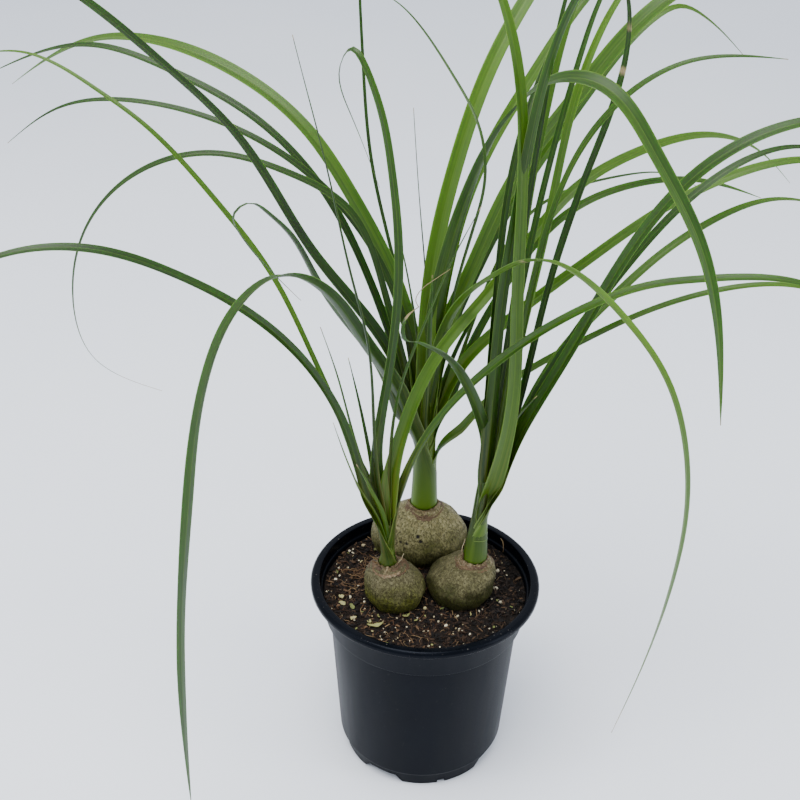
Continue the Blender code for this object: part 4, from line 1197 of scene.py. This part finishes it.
def add_pits(points, skin, foot):
    """Sink small holes where the photograph shows them, and paint shade into them."""
    front = points[:, 1] < foot[1]
    for px, py, radius in PITS:
        way = sight(px, py)
        past = points - CAMERA_AT
        off = np.linalg.norm(past - (past @ way)[:, None] * way, axis=1)
        spot = points[np.argmin(np.where(front, off, 1.0))]
        away = np.linalg.norm(points - spot, axis=1) / (radius * MM)
        sunk = np.clip(1.4 - away, 0.0, 1.0)[:, None]
        points += way * 0.9 * MM * sunk
        # Painted shade in the sunk holes
        skin[:, 2] = np.maximum(skin[:, 2], smooth_step(sunk[:, 0], 0.15, 0.6))


def plain(tone):
    """Leaf data of a loose piece that has one tone."""
    return (0.5, 0.5, tone, 0.0)


def add_sheet(heap, rows, columns, points, outward, tone):
    """A thin sheet of dry skin from its outer points."""
    points = np.array(points)
    second = points - np.asarray(outward) * SHEET_THICKNESS
    grain = per_point(np.arange(columns) * 0.4 * MM + tone, (np.arange(rows) * MM)[:, None], 0.0)
    heap.add(np.stack([points, second]), both_sides(rows, columns), plain(tone), np.tile(grain, (2, 1)))


def add_torn_arc(heap, surface, foot, away, arc, reach, lift, source):
    """A ragged flap of skin that lies on a base along an arc round its neck."""
    start, extent = arc
    columns = max(7, int(extent * away / ARC_SPACING))
    phase = source.uniform(0.0, 6.28)
    points, tilts = [], []
    for i in range(ARC_ROWS):
        v = i / (ARC_ROWS - 1)
        for j in range(columns):
            share = j / (columns - 1)
            turn = start + extent * share
            outward, _ = around(turn)
            ragged = 0.55 + 0.3 * math.sin(23.0 * turn + phase)
            ragged += 0.25 * math.sin(57.0 * turn + 2.0 * phase)
            ragged *= math.sin(math.pi * share) ** 0.5
            wavy = away * (1.0 + 0.03 * math.sin(4.0 * turn + phase))
            spot = foot + outward * (wavy + reach * v * (0.35 + 0.65 * ragged))
            level = surface_height(surface, spot[0], spot[1]) + SHEET_THICKNESS
            spot[2] = level + lift * ragged * v ** 1.5
            points.append(spot)
            tilts.append(outward * 0.6 + UP * 0.8)
    add_sheet(heap, ARC_ROWS, columns, points, tilts, source.uniform(0.1, 0.6))


def surface_of(points):
    """A search tree over a base's upper points laid flat, and their heights."""
    tree = kdtree.KDTree(len(points))
    for index, (x, y, _) in enumerate(points):
        tree.insert((x, y, 0.0), index)
    tree.balance()
    return tree, points[:, 2]


def surface_height(surface, x, y):
    tree, heights = surface
    _, index, _ = tree.find((x, y, 0.0))
    return heights[index]


def add_sliver(heap, foot, way, start, sliver, source):
    """A papery sliver that stands beside a neck."""
    azimuth, tall, wide, flare, tone = sliver
    outward, sideways = around(math.radians(azimuth))
    phase = source.uniform(0.0, 6.28)
    points = []
    for i in range(SHEET_ROWS):
        v = i / (SHEET_ROWS - 1)
        half = wide / 2.0 * (1.0 - v ** 2.2) ** 0.5 * (1.0 + 0.15 * math.sin(9.0 * v + phase)) + 0.06
        for j in range(SHEET_COLUMNS):
            u = 2.0 * j / (SHEET_COLUMNS - 1) - 1.0
            out = start + (tall * (flare * v + 0.05 * math.sin(6.0 * v + phase)) - 0.35 * u * u) * MM
            up = (tall * v * (1.0 - 0.3 * flare) + 0.8) * MM
            points.append(foot + outward * out + sideways * half * u * MM + way * up)
    add_sheet(heap, SHEET_ROWS, SHEET_COLUMNS, points, outward, tone)


def build_skins(name, surface, material):
    """Torn dry skins that lie round a neck on its base, and slivers beside it."""
    torn = TORN_SKINS[name]
    source = random.Random(CAUDICES[name]["seed"] * 7)
    foot, way, _ = neck_axis(name)
    neck = CAUDICES[name]["neck"] * MM
    heap = Heap()
    for distance in torn["rings"]:
        for _ in range(ARCS_PER_RING):
            arc = (source.uniform(0.0, FULL_TURN), source.uniform(*ARC_EXTENT))
            reach, lift = (source.uniform(*torn[key]) * MM for key in ("reach", "lift"))
            add_torn_arc(heap, surface, foot, neck + (distance + 1.0) * MM, arc, reach, lift, source)
    for sliver in torn["slivers"]:
        add_sliver(heap, foot, way, neck + 0.25 * MM, sliver, source)
    heap.object("dry_skins_" + name, material, "bark")


def turned_mesh(name, profile, steps):
    """A closed solid of revolution about Z from points that start and end on it."""
    inner = np.array(profile[1:-1])
    turns = np.linspace(0.0, FULL_TURN, steps, endpoint=False)
    ring = np.stack([np.cos(turns), np.sin(turns)], axis=1)
    heights = np.broadcast_to(inner[:, 1, None, None], (len(inner), steps, 1))
    points = np.concatenate([inner[:, 0, None, None] * ring[None], heights], axis=2).reshape(-1, 3)
    first, last, final = len(points), len(points) + 1, len(points) - steps
    faces = grid_faces(len(inner), steps, closed=True)
    faces += [[first, (k + 1) % steps, k] for k in range(steps)]
    faces += [[last, final + k, final + (k + 1) % steps] for k in range(steps)]
    ends = [(0.0, 0.0, profile[0][1]), (0.0, 0.0, profile[-1][1])]
    return new_mesh(name, points.tolist() + ends, faces)


def rounded(points, radius, parts=4):
    """Replace each inner corner of a profile by a short arc-like curve."""
    result = [points[0]]
    for before, corner, after in zip(points[:-2], points[1:-1], points[2:]):
        corner = np.array(corner)
        back, ahead = np.array(before) - corner, np.array(after) - corner
        cut = min(radius, 0.45 * np.linalg.norm(back), 0.45 * np.linalg.norm(ahead))
        start = corner + back / np.linalg.norm(back) * cut
        end = corner + ahead / np.linalg.norm(ahead) * cut
        for t in np.linspace(0.0, 1.0, parts + 1):
            result.append(tuple((1 - t) ** 2 * start + 2 * t * (1 - t) * corner + t * t * end))
    result.append(points[-1])
    return result


def pot_profile():
    """Radius and height up the inside, over the rolled lip and down the outside."""
    lip = 1.6 * MM
    corners = [
        (0.0, FLOOR),
        (FOOT_RADIUS - WALL - 0.6 * MM, FLOOR),
        (FOOT_RADIUS + 1.2 * MM - WALL, FOOT_HEIGHT - 0.2 * MM),
        (BODY_BOTTOM_RADIUS - 0.2 * MM - WALL, FOOT_HEIGHT + 1.2 * MM),
        (BODY_TOP_RADIUS - 0.3 * MM - WALL, COLLAR_STEP_HEIGHT + WALL - 0.4 * MM),
        (COLLAR_BOTTOM_RADIUS - 0.5 * MM - WALL, COLLAR_STEP_HEIGHT + WALL + 0.6 * MM),
        (COLLAR_TOP_RADIUS - 0.2 * MM - WALL, INNER_STEP_HEIGHT - 0.4 * MM),
        (RIM_RADIUS - LIP_WIDTH - 0.5 * MM, INNER_STEP_HEIGHT + 0.6 * MM),
        (RIM_RADIUS - LIP_WIDTH, POT_HEIGHT - 0.3 * MM),
        (RIM_RADIUS - LIP_WIDTH + 1.2 * MM, POT_HEIGHT),
        (RIM_RADIUS - lip, POT_HEIGHT),
        (RIM_RADIUS, POT_HEIGHT - lip),
        (RIM_RADIUS, POT_HEIGHT - LIP_DEPTH),
        (COLLAR_TOP_RADIUS + 1.6 * MM, POT_HEIGHT - LIP_DEPTH + 0.2 * MM),
        (COLLAR_TOP_RADIUS + 1.4 * MM, INNER_STEP_HEIGHT),
        (COLLAR_TOP_RADIUS, INNER_STEP_HEIGHT - 1.0 * MM),
        (COLLAR_BOTTOM_RADIUS, COLLAR_STEP_HEIGHT + 1.0 * MM),
        (COLLAR_BOTTOM_RADIUS - 0.2 * MM, COLLAR_STEP_HEIGHT),
        (BODY_TOP_RADIUS + 0.2 * MM, COLLAR_STEP_HEIGHT),
        (BODY_TOP_RADIUS - 0.1 * MM, COLLAR_STEP_HEIGHT - 1.0 * MM),
        (BODY_BOTTOM_RADIUS, FOOT_HEIGHT + 0.6 * MM),
        (BODY_BOTTOM_RADIUS - 0.8 * MM, FOOT_HEIGHT - 0.6 * MM),
        (FOOT_RADIUS + 1.6 * MM, FOOT_HEIGHT - 0.9 * MM),
        (FOOT_RADIUS + 0.1 * MM, 0.0),
        (0.0, 0.0),
    ]
    return rounded(corners, 0.9 * MM)


def link_mesh(work, name, turn, collection):
    """Turn a bmesh about Z and link it as an object of a collection."""
    work.transform(Matrix.Rotation(turn, 4, "Z"))
    mesh = bpy.data.meshes.new(name)
    work.to_mesh(mesh)
    work.free()
    collection.objects.link(bpy.data.objects.new(name, mesh))


def add_box(size, at, turn, collection, flare=1.0):
    """A box at a radius and a height in a turn about Z, its underside flared."""
    work = bmesh.new()
    bmesh.ops.create_cube(work, size=1.0)
    for vertex in work.verts:
        widened = flare if vertex.co.z < 0.0 else 1.0
        x, y, z = (share * extent for share, extent in zip(vertex.co, size))
        vertex.co = (at[0] + x, y * widened, at[1] + z)
    link_mesh(work, "box", turn, collection)


def add_housing(turn, collection):
    """The material round one bay: a block whose front follows the foot's wall."""
    front = FOOT_RADIUS - BAY_REACH
    back = FOOT_RADIUS - BAY_DEPTH - WALL
    width = BAY_WIDTH * BAY_FLARE + 2.0 * WALL
    work = bmesh.new()
    bmesh.ops.create_cube(work, size=1.0)
    along = [edge for edge in work.edges if abs(edge.verts[0].co.y - edge.verts[1].co.y) > 0.5]
    bmesh.ops.subdivide_edges(work, edges=along, cuts=9, use_grid_fill=True)
    for vertex in work.verts:
        y = vertex.co.y * width
        x = math.sqrt(front * front - y * y) if vertex.co.x > 0.0 else back
        vertex.co = (x, y, BAY_HEIGHT + WALL if vertex.co.z > 0.0 else 0.4 * MM)
    link_mesh(work, "housing", turn, collection)


def boolean(target, cutters, operation):
    """Apply a Boolean with every object of a collection, then drop those."""
    modifier = target.modifiers.new("Boolean", "BOOLEAN")
    modifier.operation = operation
    modifier.operand_type = "COLLECTION"
    modifier.collection = cutters
    evaluated = target.evaluated_get(bpy.context.evaluated_depsgraph_get())
    mesh = bpy.data.meshes.new_from_object(evaluated)
    target.modifiers.clear()
    target.data = mesh
    for thing in list(cutters.objects):
        bpy.data.objects.remove(thing, do_unlink=True)


def build_pot(material):
    """The pot, turned finely, with drain bays pressed into its foot."""
    shell = turned_mesh("pot_shell", pot_profile(), POT_STEPS)
    pot = place("pot_shell", shell, material, "pot_plastic", ("pot",))
    bays = bpy.data.collections.new("bays")
    bpy.context.scene.collection.children.link(bays)
    turns = [FIRST_BAY_ANGLE + FULL_TURN * k / DRAIN_BAYS for k in range(DRAIN_BAYS)]
    for turn in turns:
        add_housing(turn, bays)
    boolean(pot, bays, "UNION")
    inner = FOOT_RADIUS - BAY_DEPTH
    outer = BODY_BOTTOM_RADIUS + BAY_DEPTH
    for turn in turns:
        recess = (outer - inner, BAY_WIDTH, 2.0 * BAY_HEIGHT)
        add_box(recess, ((outer + inner) / 2.0, 0.0), turn, bays, 2.0 * BAY_FLARE - 1.0)
        slot = (4.0 * WALL, DRAIN_SLOT_WIDTH, DRAIN_SLOT_HEIGHT)
        add_box(slot, (inner, FLOOR + WALL / 4.0 + slot[2] / 2.0), turn, bays)
        notch = (FOOT_NOTCH_DEPTH, FOOT_NOTCH_WIDTH, 2.0 * FOOT_NOTCH_HEIGHT)
        add_box(notch, (FOOT_RADIUS, 0.0), turn + math.pi / DRAIN_BAYS, bays)
    boolean(pot, bays, "DIFFERENCE")
    bpy.data.collections.remove(bays)
    pot.data.shade_smooth()
    pot.data.set_sharp_from_angle(angle=math.radians(34.0))


def mix_height(x, y):
    """Top of the potting mix: a low mound round the plants, slightly rough."""
    away = math.hypot(x - MIX_MOUND_CENTRE[0], y - MIX_MOUND_CENTRE[1]) / MIX_MOUND_RADIUS
    mound = MIX_MOUND * math.exp(-away * away * 1.4)
    rough = math.sin(x * 410.0 + 1.3) * math.cos(y * 370.0) + 0.6 * math.sin(x * 790.0 - y * 640.0)
    return MIX_EDGE_HEIGHT + mound + MIX_ROUGHNESS * rough


def in_base(x, y, margin):
    """Whether a place on the mix lies within a swollen base or a margin of it."""
    for base in CAUDICES.values():
        low, wide, _ = base["heights"]
        level = (mix_height(x, y) / MM - wide) / (wide - low)
        share = math.sqrt(max(0.0, 1.0 - level * level))
        across, deep = (radius * share * MM + margin for radius in base["radii"])
        if ((x - base["at"][0] * MM) / across) ** 2 + ((y - base["at"][1] * MM) / deep) ** 2 < 1.0:
            return True
    return False


def build_mix(material):
    """The potting mix: a crumbly top on a plain body that fills the pot."""
    edge = COLLAR_TOP_RADIUS - WALL - 0.75 * MM
    turns = [FULL_TURN * k / MIX_SIDES for k in range(MIX_SIDES)]
    points = []
    for ring in range(MIX_RINGS + 1):
        radius = edge * (ring + 0.02) / (MIX_RINGS + 0.02)
        for turn in turns:
            x, y = radius * math.cos(turn), radius * math.sin(turn)
            spot = Vector((x, y, 0.0))
            rough = (0.9 * noise.noise(spot * 210.0) + 0.8 * abs(noise.noise(spot * 480.0))
                     + 0.5 * noise.noise(spot * 1100.0)) * MM
            sunk = 4.0 * MM if in_base(x, y, -1.2 * MM) else 0.35 * MM
            points.append((x, y, mix_height(x, y) + rough - sunk))
    low = FOOT_RADIUS - BAY_DEPTH - WALL - 0.5 * MM
    shelf = FOOT_HEIGHT + 1.6 * MM
    below = [
        (COLLAR_BOTTOM_RADIUS - WALL - 1.3 * MM, COLLAR_STEP_HEIGHT + WALL + 1.4 * MM),
        (BODY_TOP_RADIUS - WALL - 1.0 * MM, COLLAR_STEP_HEIGHT + 1.0 * MM),
        (BODY_BOTTOM_RADIUS - WALL - 0.9 * MM, shelf), (low, shelf), (low, FLOOR + 0.3 * MM),
        (0.1 * MM, FLOOR + 0.3 * MM),
    ]
    for radius, height in below:
        points += [(radius * math.cos(turn), radius * math.sin(turn), height) for turn in turns]
    mesh = new_mesh("mix_body", points, grid_faces(MIX_RINGS + 1 + len(below), MIX_SIDES, closed=True))
    mesh.flip_normals()
    place("mix_body", mesh, material, "mix", ("potting_mix",))


def ball(detail):
    """Points and faces of a unit ball."""
    work = bmesh.new()
    bmesh.ops.create_icosphere(work, subdivisions=detail, radius=1.0)
    points = np.array([vertex.co for vertex in work.verts])
    faces = [[vertex.index for vertex in face.verts] for face in work.faces]
    work.free()
    return points, faces


def random_turn(source):
    """A rotation matrix about a random, mostly upright axis."""
    axis = Vector((source.uniform(-0.6, 0.6), source.uniform(-0.6, 0.6), 1.0)).normalized()
    return np.array(Matrix.Rotation(source.uniform(0.0, FULL_TURN), 3, axis))


def lump(points, size, source, squash):
    """A ball's points made irregular, squashed and turned."""
    ways = np.array([[source.gauss(0.0, 1.6) for _ in range(3)] for _ in range(4)])
    phases = np.array([source.uniform(0.0, 6.28) for _ in range(4)])
    grow = 1.0 + 0.16 * np.sin(points @ ways.T + phases).sum(axis=1)
    return (points * grow[:, None] * squash) @ random_turn(source).T * size


def on_mix(source, margin):
    """A random place on the mix, clear of the swollen bases."""
    edge = COLLAR_TOP_RADIUS - WALL - 1.6 * MM
    while True:
        radius = edge * math.sqrt(source.random())
        turn = source.uniform(0.0, FULL_TURN)
        x, y = radius * math.cos(turn), radius * math.sin(turn)
        if not in_base(x, y, margin):
            return x, y, mix_height(x, y)


def add_lump(heap, shape, spot, size, flatness, lift, source):
    """An irregular grain on the mix: a ball made flatter within two ranges, and
    lifted by a share of its size."""
    points, faces = shape
    x, y, z = spot
    squash = (1.0, *(source.uniform(*limits) for limits in flatness))
    heap.add(lump(points, size, source, squash) + (x, y, z + size * lift), faces, plain(source.random()))


def add_chip(heap, prism, turns, spot, source):
    """A long splinter of bark, thickest near its middle."""
    x, y, z = spot
    half = source.uniform(*CHIP_SIZES) ** 1.6 * MM
    thick = half / source.uniform(1.6, 4.2)
    points = []
    for v, grow in ((-1.0, 0.7), (source.uniform(-0.3, 0.3), 1.0), (1.0, 0.6)):
        for turn in turns:
            reach = thick * grow * source.uniform(0.7, 1.25)
            aside = math.cos(turn) * reach + 0.15 * half * v * v
            points.append((v * half, aside, math.sin(turn) * reach * 0.6))
    placed = np.array(points) @ random_turn(source).T
    placed += (x, y, z + thick * 0.4 + abs(placed[:, 2]).max() * 0.3)
    heap.add(placed, prism, plain(source.random()))


def build_crumbs(material):
    """Peat crumbs, and longer chips of bark, that lie on the mix."""
    source = random.Random(41)
    heap = Heap()
    shape = ball(1)
    for _ in range(MIX_CRUMBS):
        spot = on_mix(source, 0.2 * MM)
        size = source.uniform(*CRUMB_SIZES) ** 1.5 * MM
        add_lump(heap, shape, spot, size, CRUMB_FLATNESS, 0.25, source)
    turns = np.linspace(0.0, FULL_TURN, CHIP_SIDES, endpoint=False)
    prism = capped_faces(3, CHIP_SIDES)
    for _ in range(MIX_CHIPS):
        add_chip(heap, prism, turns, on_mix(source, 0.2 * MM), source)
    heap.object("mix_crumbs", material, "mix", smooth=False)


def build_perlite(material):
    """White perlite grains, half sunk in the mix: some at random, the rest as seen."""
    source = random.Random(57)
    heap = Heap()
    shape = ball(2)
    spots = [(on_mix(source, 0.6 * MM), source.uniform(*PERLITE_SIZES) ** 1.3)
             for _ in range(PERLITE_GRAINS)]
    spots += [(seen_on_mix(px, py), 0.8 * radius) for px, py, radius in GRAINS_SEEN]
    for spot, radius in spots:
        add_lump(heap, shape, spot, radius * MM, PERLITE_FLATNESS, 0.4, source)
    heap.object("perlite", material, "mix")


def add_fibre(heap, x, y, length, lift, thick, tone, source):
    """A fine root that wanders over the mix from a place."""
    heading = source.uniform(0.0, FULL_TURN)
    knots = []
    for step in range(5):
        if in_base(x, y, 0.3 * MM) or math.hypot(x, y) > COLLAR_TOP_RADIUS - 5.5 * MM:
            break
        share = 0.3 if step in (0, 4) else 1.0
        knots.append((x, y, mix_height(x, y) + source.uniform(0.4, 1.0) * lift * share + 0.3 * MM))
        heading += source.uniform(-0.9, 0.9)
        x += math.cos(heading) * length / 4.0
        y += math.sin(heading) * length / 4.0
    if len(knots) > 2:
        radii = [thick * 0.6] + [thick] * (len(knots) - 2) + [thick * 0.4]
        add_tube(heap, knots, radii, 5, plain(tone), 11)


def build_fibres(material):
    """Fine roots and straws on the mix, with a rusty tangle left of the bases."""
    source = random.Random(73)
    heap = Heap()
    for _ in range(TANGLE_FIBRES):
        x, y = (source.gauss(middle, spread) * MM for middle, spread in TANGLE)
        length, thick = (source.uniform(*limits) * MM for limits in TANGLE_SIZES)
        add_fibre(heap, x, y, length, 3.0 * MM, thick, source.uniform(0.35, 0.8), source)
    for _ in range(MIX_FIBRES):
        x, y, _ = on_mix(source, 1.0 * MM)
        length, thick = (source.uniform(*limits) * MM for limits in FIBRE_SIZES)
        add_fibre(heap, x, y, length, 1.3 * MM, thick, source.random() ** 1.5, source)
    for px, py, px_end, py_end, tone in STRAWS_SEEN:
        start, end = np.array(seen_on_mix(px, py)), np.array(seen_on_mix(px_end, py_end))
        knots = [start + 0.9 * MM * UP, (start + end) / 2.0 + 1.0 * MM * UP, end + 0.7 * MM * UP]
        add_tube(heap, knots, np.array((0.25, 0.36, 0.2)) * MM, 6, plain(tone), 14)
    knots = [(x * MM, y * MM, mix_height(x * MM, y * MM) + lift * MM) for x, y, lift, _ in DRY_CURL]
    add_tube(heap, knots, [radius * MM for *_, radius in DRY_CURL], 6, plain(0.95), 24)
    heap.object("mix_fibres", material, "mix")


def scrap_points(x, y, length, width, turn, curl):
    """Points of a leaf scrap that lies curled on the mix, its sizes in mm."""
    along, across = around(turn)
    points = []
    for v in np.linspace(-1.0, 1.0, SHEET_ROWS):
        half = width / 2.0 * (1.0 - v * v) ** 0.5 * (1.0 + 0.25 * math.sin(7.0 * v + turn)) + 0.05
        for u in np.linspace(-1.0, 1.0, SHEET_COLUMNS):
            ahead, aside = length / 2.0 * v * MM, (half * u + 0.12 * length * v * v) * MM
            spot = [start + ahead * way + aside * side for start, way, side in zip((x, y), along, across)]
            lift = 1.4 + curl * length * 0.25 * v * v + 0.3 * u * u
            points.append((*spot, mix_height(*spot) + lift * MM))
    return points


def build_scraps(material):
    """Yellow-green leaf scraps that lie on the mix, and one fertiliser grain."""
    source = random.Random(91)
    heap = Heap()
    spots = [(*seen_on_mix(px, py)[:2], *sizes) for px, py, *sizes in SCRAPS_SEEN]
    for _ in range(LOOSE_SCRAPS):
        x, y, _ = on_mix(source, 2.0 * MM)
        spots.append((x, y, *(source.uniform(*limits) for limits in SCRAP_RANGES)))
    for spot in spots:
        points = scrap_points(*spot, source.uniform(-0.2, 0.4))
        add_sheet(heap, SHEET_ROWS, SHEET_COLUMNS, points, UP, source.random())
    px, py, radius = PRILL_SEEN
    sphere, faces = ball(3)
    middle = np.array(seen_on_mix(px, py)) + 0.9 * MM * UP
    heap.add(sphere * radius * 0.62 * MM + middle, faces, plain(0.95))
    heap.object("leaf_scraps", material, "leaf")


def build_stage(material):
    """A wide pale floor."""
    mesh = bpy.data.meshes.new("floor")
    work = bmesh.new()
    bmesh.ops.create_circle(work, cap_ends=True, segments=96, radius=FLOOR_RADIUS)
    work.to_mesh(mesh)
    work.free()
    mesh.materials.append(material)
    new_object("floor", mesh)


def area_light(name, at, target, size, power, colour):
    light = bpy.data.lights.new(name, "AREA")
    light.shape = "RECTANGLE"
    light.size, light.size_y = size
    light.energy = power
    light.color = colour
    made = new_object(name, light)
    made.location = at
    made.rotation_euler = (Vector(target) - Vector(at)).to_track_quat("-Z", "Y").to_euler()


def build_world():
    """A pale room, brighter overhead than at the horizon."""
    n = Nodes(bpy.data.worlds.new("studio"))
    level = n.axis(n.add("TexCoord", {}, "Generated"), "Z")
    back = n.tree.nodes["Background"].inputs
    n.feed(back["Color"], WORLD_COLOUR)
    n.feed(back["Strength"], n.scaled(level, 0.0, 1.0, *WORLD_STRENGTH))
    bpy.context.scene.world = n.owner


def build_camera():
    data = bpy.data.cameras.new("camera")
    data.lens = LENS
    data.sensor_width = SENSOR
    camera = new_object("camera", data)
    right, up, forward = (Vector(axis) for axis in camera_axes())
    turn = Matrix((right, up, -forward)).transposed()
    camera.matrix_world = Matrix.Translation(CAMERA_AT) @ turn.to_4x4()
    bpy.context.scene.camera = camera


def main():
    build_camera()
    build_stage(floor_material())
    build_world()
    for light in LIGHTS:
        area_light(*light)
    paper = paper_material()
    for name, leaves in all_leaves().items():
        build_crown(name, leaves, leaf_material(name))
        surface = build_caudex(name, bark_material(name))
        build_skins(name, surface_of(surface), paper)
    build_pot(plastic_material())
    build_mix(mix_material())
    build_crumbs(toned_material("crumbs", CRUMB_STOPS, 0.85, 0.8, 0.45))
    build_perlite(toned_material("perlite", PERLITE_STOPS, 0.8, wet_and_shade=0.25))
    build_fibres(toned_material("fibres", FIBRE_STOPS, 0.6, wet_and_shade=0.4))
    build_scraps(toned_material("scraps", SCRAP_STOPS, 0.55))


main()
